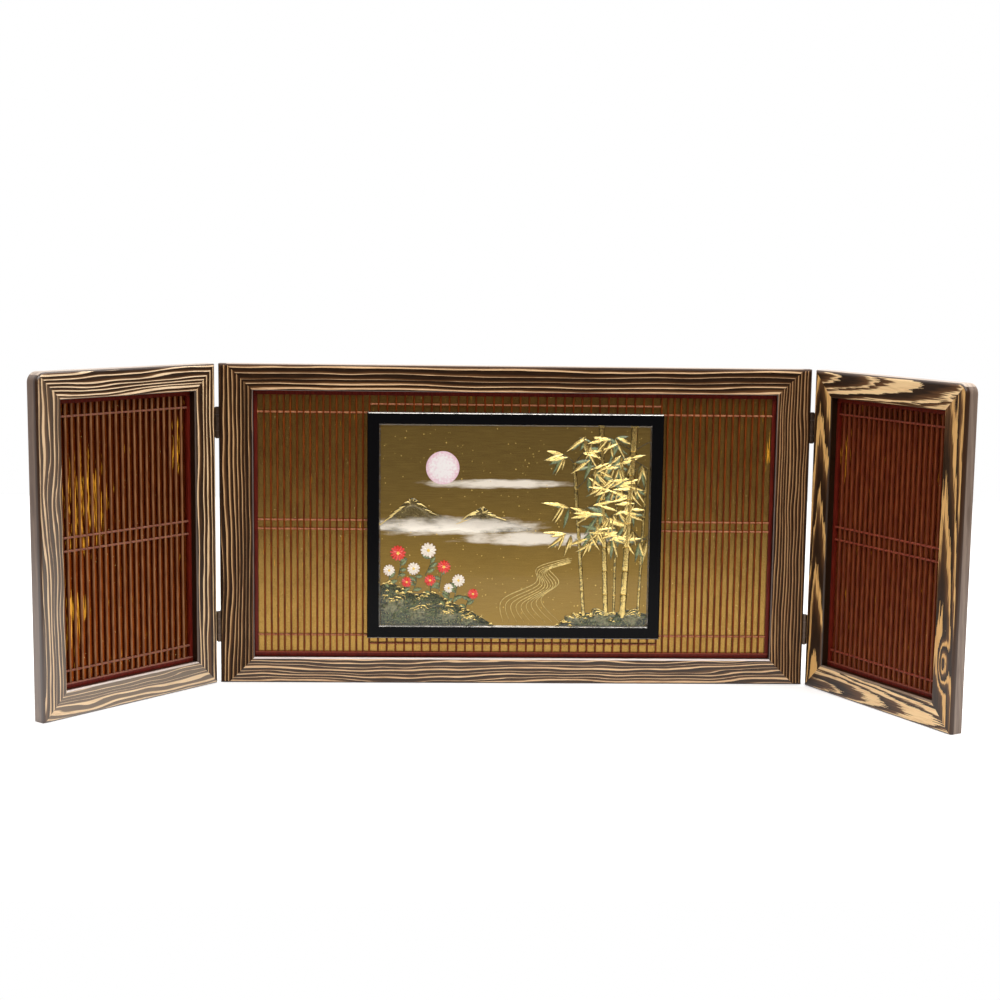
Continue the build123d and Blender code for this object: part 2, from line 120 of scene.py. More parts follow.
def between(tree, value, low, high, to_low=0.0, to_high=1.0):
    """Eases a value from one range into another."""
    inputs = {"Value": value, "From Min": low, "From Max": high, "To Min": to_low, "To Max": to_high}
    return make(tree, "ShaderNodeMapRange", inputs, interpolation_type="SMOOTHSTEP").outputs[0]


def oval(tree, place, x, z, wide, high):
    """Squared distance from the middle of an upright oval, with 1 on its rim."""
    split = parts(tree, place)
    aside = maths(tree, "POWER", maths(tree, "DIVIDE", minus(tree, split["X"], x), wide), 2.0)
    above = maths(tree, "POWER", maths(tree, "DIVIDE", minus(tree, split["Z"], z), high), 2.0)
    return plus(tree, aside, above)


# %% Finish helpers
def rgb(red, green, blue):
    """A colour with full cover."""
    return (red, green, blue, 1.0)


def blend_colour(tree, share, first, second):
    """Mixes two colours by a share from 0 to 1."""
    return make(tree, "ShaderNodeMix", {0: share, 6: first, 7: second}, data_type="RGBA").outputs[2]


def bump(tree, height, distance):
    """Turns a height from 0 to 1 into tilted normals, with its real depth in metres."""
    return make(tree, "ShaderNodeBump", {"Height": height, "Distance": distance}).outputs[0]


def new_finish(name, **sockets):
    """A material with one shader; the keywords are the shader's own sockets."""
    finish = bpy.data.materials.new(name)
    finish.use_nodes = True
    shader = finish.node_tree.nodes["Principled BSDF"]
    for key, value in sockets.items():
        shader.inputs[key.replace("_", " ")].default_value = value
    return finish, finish.node_tree, shader


def wire(tree, shader, **outputs):
    """Leads outputs of other nodes to the shader's sockets."""
    for key, output in outputs.items():
        tree.links.new(output, shader.inputs[key.replace("_", " ")])


# %% [markdown]
# ## Each panel's own axes
#
# The wings stand turned, so a pattern laid along the row's X axis would cut across them. Each
# panel gets axes of its own: X across it, Y into its thickness from the front face, Z up from
# its bottom edge. The turn comes from the joint (its range begins where the wing lies flat in
# line), and the origin is measured from the frame members' solids.


# %% Measuring in a panel's axes
def corners_in(nodes, axes):
    """Lowest and highest corners of some solids, seen in a panel's axes."""
    back = axes.inverted()
    points = [back @ v.co for node in nodes for v in frame["nodes"][node].data.vertices]
    low = Vector([min(p[i] for p in points) for i in range(3)])
    high = Vector([max(p[i] for p in points) for i in range(3)])
    return low, high


def panel_axes(members, turn):
    """Axes on the front face of a panel: a matrix from the panel to the row."""
    turned = Matrix.Rotation(turn, 4, "Z")
    low, high = corners_in(members, turned)
    return turned @ Matrix.Translation(((low.x + high.x) / 2, low.y, low.z))


# %% Panels
RAILS = ("top_rail", "bottom_rail")
MEMBERS = {
    "centre": RAILS + ("left_stile", "right_stile"),
    "left_wing": RAILS + ("hinge_stile", "outer_stile"),
    "right_wing": RAILS + ("hinge_stile", "outer_stile"),
}
FLAT_TURNS = {joint["child"]: -radians(joint["range_deg"][0]) for joint in frame["joints"]}
TURNS = {"centre": 0.0, "left_wing": FLAT_TURNS["left_wing"], "right_wing": -FLAT_TURNS["right_wing"]}

panels = {}
for body, turn in TURNS.items():
    members = [f"{body}_{member}" for member in MEMBERS[body]]
    axes = panel_axes(members, turn)
    low, high = corners_in(members, axes)
    panels[body] = {"members": members, "turn": turn, "axes": axes, "size": high - low}
    print(body, "turn", round(turn, 3), "size mm", [round(side / MM, 1) for side in high - low])


# %% Patterns and finishes on a panel
def panel_place(tree, panel, middle=(0, 0, 0)):
    """Where a surface point lies in a panel's axes, in millimetres from a middle."""
    origin = panel["axes"].inverted().translation - Vector(middle)
    inputs = {
        "Vector": make(tree, "ShaderNodeTexCoord").outputs["Object"],
        "Rotation": (0, 0, -panel["turn"]),
        "Scale": (1 / MM,) * 3,
        "Location": origin / MM,
    }
    return make(tree, "ShaderNodeMapping", inputs).outputs[0]


def dress(node, finish):
    """Gives a solid that is shown as it is its finish."""
    materials = frame["nodes"][node].data.materials
    materials.clear()
    materials.append(finish)


# %% [markdown]
# ## Camera
#
# The viewpoint is a little above the screen and a little left of its middle, far enough back
# for a long lens. Its turn is three small angles: yaw, pitch and roll.

# %% Camera
CAMERA_PLACE = Vector((-0.0766, -1.7441, 0.4295))
CAMERA_YAW = radians(-2.015)
CAMERA_PITCH = radians(-7.805)
CAMERA_ROLL = radians(-0.718)
CAMERA_LENS = 62.03
SENSOR_WIDTH = 36

camera = bpy.data.objects.new("camera", bpy.data.cameras.new("camera"))
bpy.context.scene.collection.objects.link(camera)
camera.data.lens = CAMERA_LENS
camera.data.sensor_width = SENSOR_WIDTH
look = Matrix.Rotation(CAMERA_YAW, 4, "Z") @ Matrix.Rotation(CAMERA_PITCH, 4, "X")
look = look @ Matrix.Rotation(CAMERA_ROLL, 4, "Y") @ Matrix.Rotation(pi / 2, 4, "X")
camera.matrix_world = Matrix.Translation(CAMERA_PLACE) @ look
bpy.context.scene.camera = camera
bpy.context.scene.view_settings.view_transform = "Standard"
print("camera at", [round(c, 3) for c in CAMERA_PLACE])

# %% [markdown]
# ## Floor, light and surroundings
#
# Gold paper and lacquer show what stands in front of them, so the surroundings matter as much
# as the lamps. A white table reaches a short way forward and a darker room lies beyond it: low
# gold sees the table and glows, high gold sees the room and goes brown. What the camera itself
# sees behind the screen is plain white.


# %% Floor
def sight(tree):
    """One for what is seen straight, and one for what is seen in something glossy or clear."""
    rays = make(tree, "ShaderNodeLightPath").outputs
    return rays["Is Camera Ray"], largest(tree, rays["Is Glossy Ray"], rays["Is Transmission Ray"])


TABLE_SIDE = 1.3
TABLE_FRONT = -0.62
TABLE_BACK = 1.4
TABLE_LIFT = 0.3
TABLE_WHITE = rgb(0.86, 0.86, 0.86)

table_mesh = bpy.data.meshes.new("table_top")
front_edge = [(-TABLE_SIDE, TABLE_FRONT, 0), (TABLE_SIDE, TABLE_FRONT, 0)]
back_edge = [(TABLE_SIDE, TABLE_BACK, 0), (-TABLE_SIDE, TABLE_BACK, 0)]
table_mesh.from_pydata(front_edge + back_edge, [], [(0, 1, 2, 3)])
table = bpy.data.objects.new("table_top", table_mesh)
bpy.context.scene.collection.objects.link(table)
table_finish, tree, shader = new_finish(
    "table_white", Base_Color=TABLE_WHITE, Roughness=0.9, Emission_Color=rgb(1, 1, 1)
)
wire(tree, shader, Emission_Strength=times(tree, largest(tree, *sight(tree)), TABLE_LIFT))
table_mesh.materials.append(table_finish)
print("table top reaches", TABLE_FRONT, "m forward")

# %% Surroundings
ROOM_FRONT = 0.105
ROOM_HIGH = 0.8
ROOM_BROWN = rgb(1.0, 0.71, 0.60)
ROOM_WHITE = rgb(1.0, 1.0, 1.0)
BRIGHTENS_UPWARDS = (0.1, 0.8)
BRIGHTENS_BEHIND = (-0.2, 0.4)

world = bpy.data.worlds.new("room")
bpy.context.scene.world = world
world.use_nodes = True
tree = world.node_tree
direction = parts(tree, make(tree, "ShaderNodeTexCoord").outputs["Generated"])
seen, mirrored = sight(tree)
behind = between(tree, direction["Y"], *BRIGHTENS_BEHIND)
bright = largest(tree, between(tree, direction["Z"], *BRIGHTENS_UPWARDS), behind)
level = between(tree, bright, 0.0, 1.0, ROOM_FRONT, ROOM_HIGH)
tint = blend_colour(tree, largest(tree, bright, seen), ROOM_BROWN, ROOM_WHITE)
strength = largest(tree, level, times(tree, mirrored, behind), seen)
wire(tree, tree.nodes["Background"], Color=tint, Strength=strength)
print("room level from", ROOM_FRONT, "in front to", ROOM_HIGH, "above")

# %% Lamps
LAMPS = {
    "key_lamp": {"place": (0.3, -1.5, 1.9), "size": (1.8, 1.0), "power": 30.0},
    "top_lamp": {"place": (0.1, 0.2, 1.6), "size": (1.8, 0.8), "power": 24.0},
}
AIM = Vector((0, -0.05, 0.16))

for name, plan in LAMPS.items():
    lamp = bpy.data.lights.new(name, "AREA")
    lamp.shape = "RECTANGLE"
    lamp.size, lamp.size_y = plan["size"]
    lamp.energy = plan["power"]
    place = Vector(plan["place"])
    facing = (AIM - place).to_track_quat("-Z", "Y").to_matrix().to_4x4()
    holder = bpy.data.objects.new(name, lamp)
    holder.matrix_world = Matrix.Translation(place) @ facing
    bpy.context.scene.collection.objects.link(holder)
print("lamps placed:", ", ".join(LAMPS))

# %% [markdown]
# ## Burnt grain on the frames
#
# The frames are softwood, charred, brushed and sealed. The flame blackens the soft early wood
# and the brush leaves the hard rings as tan lines. A flat picture of stripes would not turn the
# corners, so the tree itself is modelled: rings are circles round a pith that runs roughly
# along the member, bent a little by slow noise. A pith far to one side gives straight lines,
# and a pith just under the face, slightly tilted, gives the flame figure. The char colours the
# front face only: the edges and the back are stained, with the rings faint in them. Light and
# shade are also painted onto the edges: a dark band of shade along the front of the outer
# rounding, a pale highlight on the top rails' upper faces, and highlight lines along the inner
# arrises and the sills.

# %% The ring network
GRAIN_SIZES = (
    "Pith Across", "Pith Depth", "Tilt", "Ring", "Tan Share", "Wander", "Fibre", "Uneven",
    "Knot Along", "Knot Across", "Knot Swell", "Seed",
)
# How fast each noise changes along, into and across the member, per millimetre.
SLOW_BEND = (1 / 150, 1 / 60, 1 / 45)
FINE_BEND = (1 / 60, 1 / 12, 1 / 9)
FIBRE_RUN = (1 / 34, 0.8, 1.0)
YEAR_RUN = (1 / 300, 1 / 30, 1 / 11)
SHARE_RUN = (1 / 80, 1 / 20, 1 / 8)
KNOT_SHAPE = (1 / 34, 1 / 20, 1 / 11)
# The least and most that a year's tan share is multiplied by, and how much it wavers.
YEAR_SHARES = (0.35, 1.5)
SHARE_WAVER = 0.3
# How far before and past its edge each band of a ring rises, as shares of the ring.
TAN_RISE = (0.03, 0.07)
SHOULDER_RISE = (0.42, 0.02)


def ring_network():
    """Rings of a tree, cut by a member. Place is (along, depth, across) in millimetres."""
    group = bpy.data.node_groups.new("tree rings", "ShaderNodeTree")
    group.interface.new_socket("Place", in_out="INPUT", socket_type="NodeSocketVector")
    for name in GRAIN_SIZES:
        group.interface.new_socket(name, in_out="INPUT", socket_type="NodeSocketFloat")
    for name in ("Tan", "Shoulder"):
        group.interface.new_socket(name, in_out="OUTPUT", socket_type="NodeSocketFloat")
    given = make(group, "NodeGroupInput").outputs
    seed = vector(group, *[given["Seed"]] * 3)
    place = make(group, "ShaderNodeVectorMath", {0: given["Place"], 1: seed}, operation="ADD").outputs[0]

    def drift(run, amount, detail=2.0):
        """Noise that runs along the member, about zero."""
        soft = cloud(group, stretched(group, place, run), 1.0, detail)
        return times(group, minus(group, soft, 0.5), amount)

    split = parts(group, given["Place"])
    slow = drift(SLOW_BEND, times(group, given["Wander"], 2.0))
    across = plus(group, minus(group, split["Z"], given["Pith Across"]), slow)
    depth = plus(group, split["Y"], given["Pith Depth"], times(group, split["X"], given["Tilt"]))
    square = plus(group, maths(group, "POWER", across, 2.0), maths(group, "POWER", depth, 2.0))
    fine = drift(FINE_BEND, times(group, given["Wander"], 0.2))
    fibre = drift(FIBRE_RUN, given["Fibre"], 2.5)
    knot = vector(group, given["Knot Along"], 0.0, given["Knot Across"])
    away = make(group, "ShaderNodeVectorMath", {0: given["Place"], 1: knot}, operation="SUBTRACT").outputs[0]
    away = stretched(group, away, KNOT_SHAPE)
    away = make(group, "ShaderNodeVectorMath", {0: away}, operation="LENGTH").outputs["Value"]
    swell = between(group, away, 0.0, 1.0, given["Knot Swell"], 0.0)
    radius = plus(group, maths(group, "SQRT", square), fine, fibre, swell)
    count = plus(group, maths(group, "DIVIDE", radius, given["Ring"]), drift(YEAR_RUN, given["Uneven"]))
    year = maths(group, "FLOOR", count)
    phase = minus(group, count, year)
    number = plus(group, year, given["Seed"])
    own = make(group, "ShaderNodeTexWhiteNoise", {"W": number}, noise_dimensions="1D").outputs["Value"]
    share = times(group, given["Tan Share"], between(group, own, 0.0, 1.0, *YEAR_SHARES))
    edge = minus(group, 1.0, plus(group, share, drift(SHARE_RUN, SHARE_WAVER)))

    def band(before, past):
        """Rises from 0 to 1 about the edge between a ring's dark wood and its tan line."""
        return between(group, phase, minus(group, edge, before), plus(group, edge, past))

    make(group, "NodeGroupOutput", {"Tan": band(*TAN_RISE), "Shoulder": band(*SHOULDER_RISE)})
    return group


TREE_RINGS = ring_network()
print("ring network has", len(TREE_RINGS.nodes), "nodes")

# %% [markdown]
# Char, tan and stain each have their own colour on each panel, partly because the panels come
# from different boards and partly as painted light and shade, since they take the light at
# different angles. A member that differs from its panel has an entry of its own, for the same
# two reasons.

# %% Colours of the burnt wood
CHAR_BLACK = rgb(0.014, 0.006, 0.002)
CHAR_BROWN = rgb(0.042, 0.017, 0.006)
SHOULDER_BROWN = rgb(0.125, 0.055, 0.020)
# Lighter char colour: a painted sheen of the bright table together with some wear.
WEAR_AND_SHEEN_BROWN = rgb(0.16, 0.105, 0.055)
# Painted highlight: the pale upper faces of the top rails, as if lit from above.
TOP_HIGHLIGHT = rgb(0.62, 0.50, 0.40)
EDGE_STAINS = {
    "centre": rgb(0.265, 0.20, 0.155),
    "left_wing": rgb(0.24, 0.162, 0.116),
    "right_wing": rgb(0.305, 0.23, 0.18),
}
# Painted highlight lines along the inner arrises, dark on the right wing as painted shade.
ARRIS_HIGHLIGHTS = {
    "centre": rgb(0.20, 0.165, 0.15),
    "left_wing": rgb(0.12, 0.09, 0.07),
    "right_wing": rgb(0.035, 0.02, 0.012),
}
# Painted highlight lines along the inner edges of the bottom rails, dimmer on the right wing.
SILL_HIGHLIGHTS = {
    "centre": rgb(0.78, 0.70, 0.66),
    "left_wing": rgb(0.62, 0.54, 0.48),
    "right_wing": rgb(0.24, 0.17, 0.12),
}
TANS = {
    "centre": (rgb(0.42, 0.22, 0.10), rgb(0.84, 0.56, 0.31)),
    "centre_left_stile": (rgb(0.32, 0.155, 0.062), rgb(0.62, 0.38, 0.18)),
    "centre_right_stile": (rgb(0.24, 0.11, 0.045), rgb(0.47, 0.27, 0.12)),
    "left_wing": (rgb(0.46, 0.27, 0.13), rgb(0.84, 0.60, 0.34)),
    "left_wing_top_rail": (rgb(0.56, 0.36, 0.20), rgb(0.95, 0.72, 0.46)),
    "left_wing_outer_stile": (rgb(0.36, 0.22, 0.12), rgb(0.74, 0.52, 0.30)),
    "right_wing": (rgb(0.50, 0.25, 0.075), rgb(0.80, 0.47, 0.16)),
    "right_wing_top_rail": (rgb(0.58, 0.34, 0.15), rgb(0.92, 0.65, 0.34)),
    "right_wing_bottom_rail": (rgb(0.58, 0.34, 0.15), rgb(0.92, 0.65, 0.34)),
    "right_wing_outer_stile": (rgb(0.40, 0.20, 0.065), rgb(0.72, 0.42, 0.15)),
}
COATS = {
    "centre": 0.0,
    "centre_bottom_rail": 0.35,
    "left_wing": 0.35,
    "left_wing_outer_stile": 0.8,
    "left_wing_bottom_rail": 1.0,
    "right_wing": 0.3,
}
# Shares by which the char turns lighter on the lower members, mostly on the left wing: a painted sheen of
# the bright table, with some wear.
WEAR_AND_SHEEN = {"left_wing_bottom_rail": 0.8, "left_wing_outer_stile": 0.25, "centre_bottom_rail": 0.1}
print("members with a tan of their own:", len(TANS) - len(panels))

# %% The frame finish
# Depths are in millimetres from the front face.
FACE_DEPTH = 0.25
FACE_FADE = 0.4
# The front of the outer rounding is painted dark to these depths as its shade; past them the edge is
# stained, and on the top rails painted pale as a highlight.
DARK_EDGE_BAND = 4.3
DARK_TOP_BAND = 1.2
DARK_BAND_FADE = 1.5
ARRIS_BAND = (1.5, 1.9)
SILL_BAND = (2.0, 3.0)
SILL_DEPTH = 0.03
SILL_FADE = 0.12
INNER_REACH = 3.0
INNER_FADE = 0.6
FIBRE_SCALE = (1 / 18, 1.6, 1.9)
PATCH_SCALE = (1 / 60, 1 / 9, 1 / 9)
# The ranges of noise over which char browns, tan brightens and stain is scorched.
BROWN_FIBRES = (0.35, 0.8)
BRIGHT_FIBRES = (0.3, 0.6)
BRIGHT_PATCHES = (0.35, 0.65)
SCORCHED_PATCHES = (0.5, 0.7)
SCORCH_SHARE = 0.45
STAINED_GRAIN = 0.24
STAINED_FIBRES = 0.4
FIBRE_RELIEF = 0.35
BRUSHED_DEPTH = 0.12 * MM


def charred_face(tree, node, body, rings, fibres, patches):
    """Colour of the front face: char between the brushed tan rings."""
    dark = blend_colour(tree, between(tree, fibres, *BROWN_FIBRES), CHAR_BLACK, CHAR_BROWN)
    dark = blend_colour(tree, rings["Shoulder"], dark, SHOULDER_BROWN)
    dark = blend_colour(tree, WEAR_AND_SHEEN.get(node, 0.0), dark, WEAR_AND_SHEEN_BROWN)
    dull, bright = TANS.get(node, TANS[body])
    light = blend_colour(tree, between(tree, fibres, *BRIGHT_FIBRES), dull, bright)
    light = blend_colour(tree, between(tree, patches, *BRIGHT_PATCHES), light, bright)
    return blend_colour(tree, rings["Tan"], dark, light)


def edge_stain_and_light(tree, node, body, depth, rings, fibres, patches):
    """Colour of the outer edges and the back: a painted dark band of shade along the front of the rounding,
    then stain with faint rings and scorched patches; on the top rails a painted pale highlight takes the
    stain's place.
    """
    stain_and_highlight, begins = EDGE_STAINS[body], DARK_EDGE_BAND
    if node.endswith("top_rail"):
        stain_and_highlight, begins = TOP_HIGHLIGHT, DARK_TOP_BAND
    # Painted shade along the front of the rounding, then stain or the painted top highlight.
    colour = blend_colour(tree, between(tree, depth, begins, begins + DARK_BAND_FADE), CHAR_BROWN, stain_and_highlight)
    colour = blend_colour(tree, times(tree, fibres, STAINED_FIBRES), colour, CHAR_BROWN)
    veins = times(tree, minus(tree, 1.0, rings["Tan"]), STAINED_GRAIN)
    scorch = between(tree, patches, *SCORCHED_PATCHES, 0.0, SCORCH_SHARE)
    return blend_colour(tree, largest(tree, veins, scorch), colour, CHAR_BROWN)


def burnt_wood(node, body, upright, grain):
    """The finish of one frame member, with its own piece of the tree."""
    finish, tree, shader = new_finish(
        f"burnt_wood_{node}",
        Roughness=0.42,
        Specular_IOR_Level=0.12,
        Coat_Weight=COATS.get(node, COATS[body]),
        Coat_Roughness=0.28,
        Coat_IOR=1.8,
    )
    panel = panels[body]
    low, high = corners_in([node], panel["axes"])
    middle = (low + high) / 2
    split = parts(tree, panel_place(tree, panel, (middle.x, 0, middle.z)))
    along, across = (split["Z"], split["X"]) if upright else (split["X"], split["Z"])
    depth = split["Y"]
    member = vector(tree, along, depth, across)
    rings = make(tree, "ShaderNodeGroup", {"Place": member, **grain}, node_tree=TREE_RINGS).outputs
    fibres = cloud(tree, stretched(tree, member, FIBRE_SCALE), 1.0, 3.0)
    patches = cloud(tree, stretched(tree, member, PATCH_SCALE), 1.0)
    half = (high - low)[0 if upright else 2] / 2 / MM
    beyond = middle.x if upright else middle.z - panel["size"].z / 2
    inward = times(tree, across, -1.0 if beyond > 0 else 1.0)
    within = between(tree, inward, half - INNER_REACH, half - INNER_REACH + INNER_FADE)
    on_face = between(tree, depth, FACE_DEPTH, FACE_DEPTH + FACE_FADE, 1.0, 0.0)
    # The inner arris and the bottom rails' sill are painted light as highlight lines, going to char black
    # deeper in.
    stain_and_highlight, band = ARRIS_HIGHLIGHTS[body], ARRIS_BAND
    if node.endswith("bottom_rail"):
        stain_and_highlight, band = SILL_HIGHLIGHTS[body], SILL_BAND
        lip = times(tree, within, between(tree, depth, SILL_DEPTH, SILL_DEPTH + SILL_FADE))
        on_face = times(tree, on_face, minus(tree, 1.0, lip))
    inner = blend_colour(tree, between(tree, depth, *band), stain_and_highlight, CHAR_BLACK)
    outer = edge_stain_and_light(tree, node, body, depth, rings, fibres, patches)
    edges = blend_colour(tree, within, outer, inner)
    face = charred_face(tree, node, body, rings, fibres, patches)
    relief = plus(tree, times(tree, rings["Tan"], on_face), times(tree, fibres, FIBRE_RELIEF))
    colour = blend_colour(tree, on_face, edges, face)
    wire(tree, shader, Base_Color=colour, Normal=bump(tree, relief, BRUSHED_DEPTH))
    return finish


# %% [markdown]
# Each member is its own stick of wood. The centre panel and the left wing are cut on the
# quarter, so their rings are lines. The right wing is cut flat, so its rings open into flames,
# and one of its stiles has a knot.

# %% Dress the frame members
QUARTER_CUT = {
    "Pith Across": 90.0,
    "Pith Depth": 25.0,
    "Tilt": 0.0,
    "Ring": 4.2,
    "Tan Share": 0.24,
    "Wander": 4.0,
    "Fibre": 0.35,
    "Uneven": 1.0,
    "Knot Swell": 0.0,
}
FLAT_CUT = {
    "Pith Across": 3.0,
    "Pith Depth": 16.0,
    "Tilt": 0.06,
    "Ring": 5.2,
    "Tan Share": 0.42,
    "Wander": 8.0,
    "Fibre": 3.4,
    "Uneven": 1.2,
    "Knot Swell": 0.0,
}
KNOTTED = {"Knot Along": -98.0, "Knot Swell": 11.0}
STICKS = {
    "centre_top_rail": {"Ring": 5.0, "Wander": 5.0, "Tan Share": 0.22},
    "centre_bottom_rail": {"Ring": 3.5, "Wander": 13.0, "Tan Share": 0.36, "Fibre": 0.5},
    "centre_left_stile": {"Ring": 3.9, "Tan Share": 0.19, "Wander": 6.0},
    "centre_right_stile": {"Ring": 3.1, "Tan Share": 0.22, "Wander": 7.0},
    "left_wing_top_rail": {"Ring": 3.9, "Wander": 9.0, "Tan Share": 0.40, "Uneven": 1.4},
    "left_wing_bottom_rail": {"Ring": 4.4, "Wander": 14.0, "Tan Share": 0.30, "Uneven": 2.4},
    "left_wing_hinge_stile": {"Ring": 5.2, "Wander": 8.0, "Tan Share": 0.24, "Uneven": 2.2},
    "left_wing_outer_stile": {"Ring": 4.0, "Wander": 10.0, "Tan Share": 0.27, "Uneven": 1.7},
    "right_wing_top_rail": {"Pith Across": 8.0, "Tilt": 0.09, "Tan Share": 0.5},
    "right_wing_bottom_rail": {"Pith Across": -6.0, "Ring": 4.2},
    "right_wing_hinge_stile": {"Pith Across": 2.0, "Ring": 4.6, "Tan Share": 0.45},
    "right_wing_outer_stile": {
        "Pith Across": -7.0, "Tilt": 0.045, "Ring": 4.8, "Tan Share": 0.32, **KNOTTED,
    },
}
CUTS = {"centre": QUARTER_CUT, "left_wing": QUARTER_CUT, "right_wing": FLAT_CUT}
SEED_STEP = 137.0

members = [(body, node) for body, panel in panels.items() for node in panel["members"]]
for number, (body, node) in enumerate(members, 1):
    grain = {**CUTS[body], **STICKS[node], "Seed": number * SEED_STEP}
    dress(node, burnt_wood(node, body, "stile" in node, grain))
print("frame members dressed:", len(members))

# %% [markdown]
# ## Strips and stamps
#
# The lattice and the small parts of the picture repeat one shape many times. Geometry Nodes
# suit that well: a tree makes or takes the shape once and stands a copy on every point of a
# carrier mesh, turned and sized by two attributes of the point. The result is then kept as a
# plain mesh, so nothing live is left on the piece.


# %% Trees for strips and stamps
def new_tree(name, sockets):
    """A Geometry Nodes tree with named inputs and one geometry output."""
    tree = bpy.data.node_groups.new(name, "GeometryNodeTree")
    tree.interface.new_socket("Geometry", in_out="INPUT", socket_type="NodeSocketGeometry")
    for socket, kind in sockets:
        tree.interface.new_socket(socket, in_out="INPUT", socket_type=kind)
    tree.interface.new_socket("Geometry", in_out="OUTPUT", socket_type="NodeSocketGeometry")
    return tree, make(tree, "NodeGroupInput").outputs


def close_tree(tree, given, instances):
    """The last steps of every tree: real mesh, then its finish."""
    real = make(tree, "GeometryNodeRealizeInstances", {"Geometry": instances}).outputs[0]
    done = make(tree, "GeometryNodeSetMaterial", {"Geometry": real, "Material": given["Finish"]}).outputs[0]
    make(tree, "NodeGroupOutput", {"Geometry": done})


def stand_copies(tree, given, shape):
    """Stands a copy of a shape on every point, turned and sized by the point's attributes."""
    kept = {}
    for name in ("turn", "size"):
        reader = make(tree, "GeometryNodeInputNamedAttribute", {"Name": name}, data_type="FLOAT_VECTOR")
        kept[name] = next(out for out in reader.outputs if out.enabled and out.name == "Attribute")
    turn = make(tree, "FunctionNodeEulerToRotation", {0: kept["turn"]}).outputs[0]
    places = {"Points": given["Geometry"], "Instance": shape, "Rotation": turn, "Scale": kept["size"]}
    close_tree(tree, given, make(tree, "GeometryNodeInstanceOnPoints", places).outputs[0])


def strip_tree():
    """A one metre strip with rounded arrises, stood on every point."""
    sizes = [(name, "NodeSocketFloat") for name in ("Width", "Depth", "Edge Radius")]
    tree, given = new_tree("lacquered strips", sizes + [("Finish", "NodeSocketMaterial")])
    section = {"Width": given["Width"], "Height": given["Depth"]}
    outline = make(tree, "GeometryNodeCurvePrimitiveQuadrilateral", section).outputs[0]
    rounding = {"Curve": outline, "Count": 4, "Radius": given["Edge Radius"], "Limit Radius": True}
    rounded = make(tree, "GeometryNodeFilletCurve", rounding, mode="POLY").outputs[0]
    ends = {"Start": (0, 0, -0.5), "End": (0, 0, 0.5)}
    line = make(tree, "GeometryNodeCurvePrimitiveLine", ends).outputs[0]
    sweep = {"Curve": line, "Profile Curve": rounded, "Fill Caps": True}
    stand_copies(tree, given, make(tree, "GeometryNodeCurveToMesh", sweep).outputs[0])
    return tree


def stamp_tree():
    """Any small shape, stood on every point."""
    sockets = [("Shape", "NodeSocketObject"), ("Finish", "NodeSocketMaterial")]
    tree, given = new_tree("stamped shapes", sockets)
    shape = make(tree, "GeometryNodeObjectInfo", {"Object": given["Shape"]}).outputs["Geometry"]
    stand_copies(tree, given, shape)
    return tree


STRIPS = strip_tree()
STAMPS = stamp_tree()
print("trees:", STRIPS.name, "and", STAMPS.name)


# %% Turning a tree into a plain piece
def carrier(points):
    """A mesh of loose points; each point is (place, turn, size)."""
    mesh = bpy.data.meshes.new("carrier")
    mesh.from_pydata([place for place, turn, size in points], [], [])
    for name, column in (("turn", 1), ("size", 2)):
        attribute = mesh.attributes.new(name, "FLOAT_VECTOR", "POINT")
        attribute.data.foreach_set("vector", [n for point in points for n in point[column]])
    return mesh


def keep_piece(name, mesh, smooth_angle):
    """Names a mesh as a piece of the scene and smooths all but its sharp edges."""
    mesh.name = name
    mesh.shade_smooth()
    mesh.set_sharp_from_angle(angle=radians(smooth_angle))
    piece = bpy.data.objects.new(name, mesh)
    bpy.context.scene.collection.objects.link(piece)
    return piece


def grow(name, mesh, tree, inputs, axes, smooth_angle=40):
    """Runs a tree on a mesh and keeps the result as a plain piece, placed by a panel's axes."""
    holder = bpy.data.objects.new(f"{name}_carrier", mesh)
    bpy.context.scene.collection.objects.link(holder)
    modifier = holder.modifiers.new("tree", "NODES")
    modifier.node_group = tree
    for item in tree.interface.items_tree:
        if item.in_out == "INPUT" and item.name in inputs:
            modifier[item.identifier] = inputs[item.name]
    bpy.context.view_layer.update()
    depsgraph = bpy.context.evaluated_depsgraph_get()
    grown = bpy.data.meshes.new_from_object(holder.evaluated_get(depsgraph), depsgraph=depsgraph)
    holder.modifiers.clear()
    bpy.data.objects.remove(holder)
    grown.transform(axes)
    return keep_piece(name, grown, smooth_angle)


def hand_over(piece, body, slot, *nodes):
    """Says what a finished piece rides on and stands for. The slot named for its finish is not used."""
    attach(piece, body)
    if nodes:
        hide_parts(*nodes)
    print(piece.name, "rides on", body, "faces", len(piece.data.polygons))


# %% [markdown]
# ## The red lattice
#
# Each field is a row of thin lacquered slats crossed by a few bars, inside a border of four
# strips. The lacquer is brushed on thin and pools into deep red. Light and shade are painted onto
# it in places: the fronts of the left wing's slats are painted pale as a highlight and their
# sides deep red as shade, and the border carries a painted highlight along the arris where the
# slats stand on it. Each such painting is a function laid over the plain lacquer, so that one
# recipe serves every strip.

# %% Red lacquer
BORDER_REDS = (rgb(0.085, 0.007, 0.004), rgb(0.15, 0.014, 0.007))
# Name, deep colour and thin colour of each lacquer. Each panel's copy is lighter or darker as painted light
# and shade.
SLAT_LACQUERS = {
    "centre": ("slat_lacquer", rgb(0.105, 0.017, 0.001), rgb(0.205, 0.041, 0.003)),
    "left_wing": ("left_slat_lacquer", rgb(0.16, 0.062, 0.026), rgb(0.29, 0.132, 0.056)),
    "right_wing": ("right_slat_lacquer", rgb(0.112, 0.020, 0.009), rgb(0.215, 0.053, 0.018)),
}
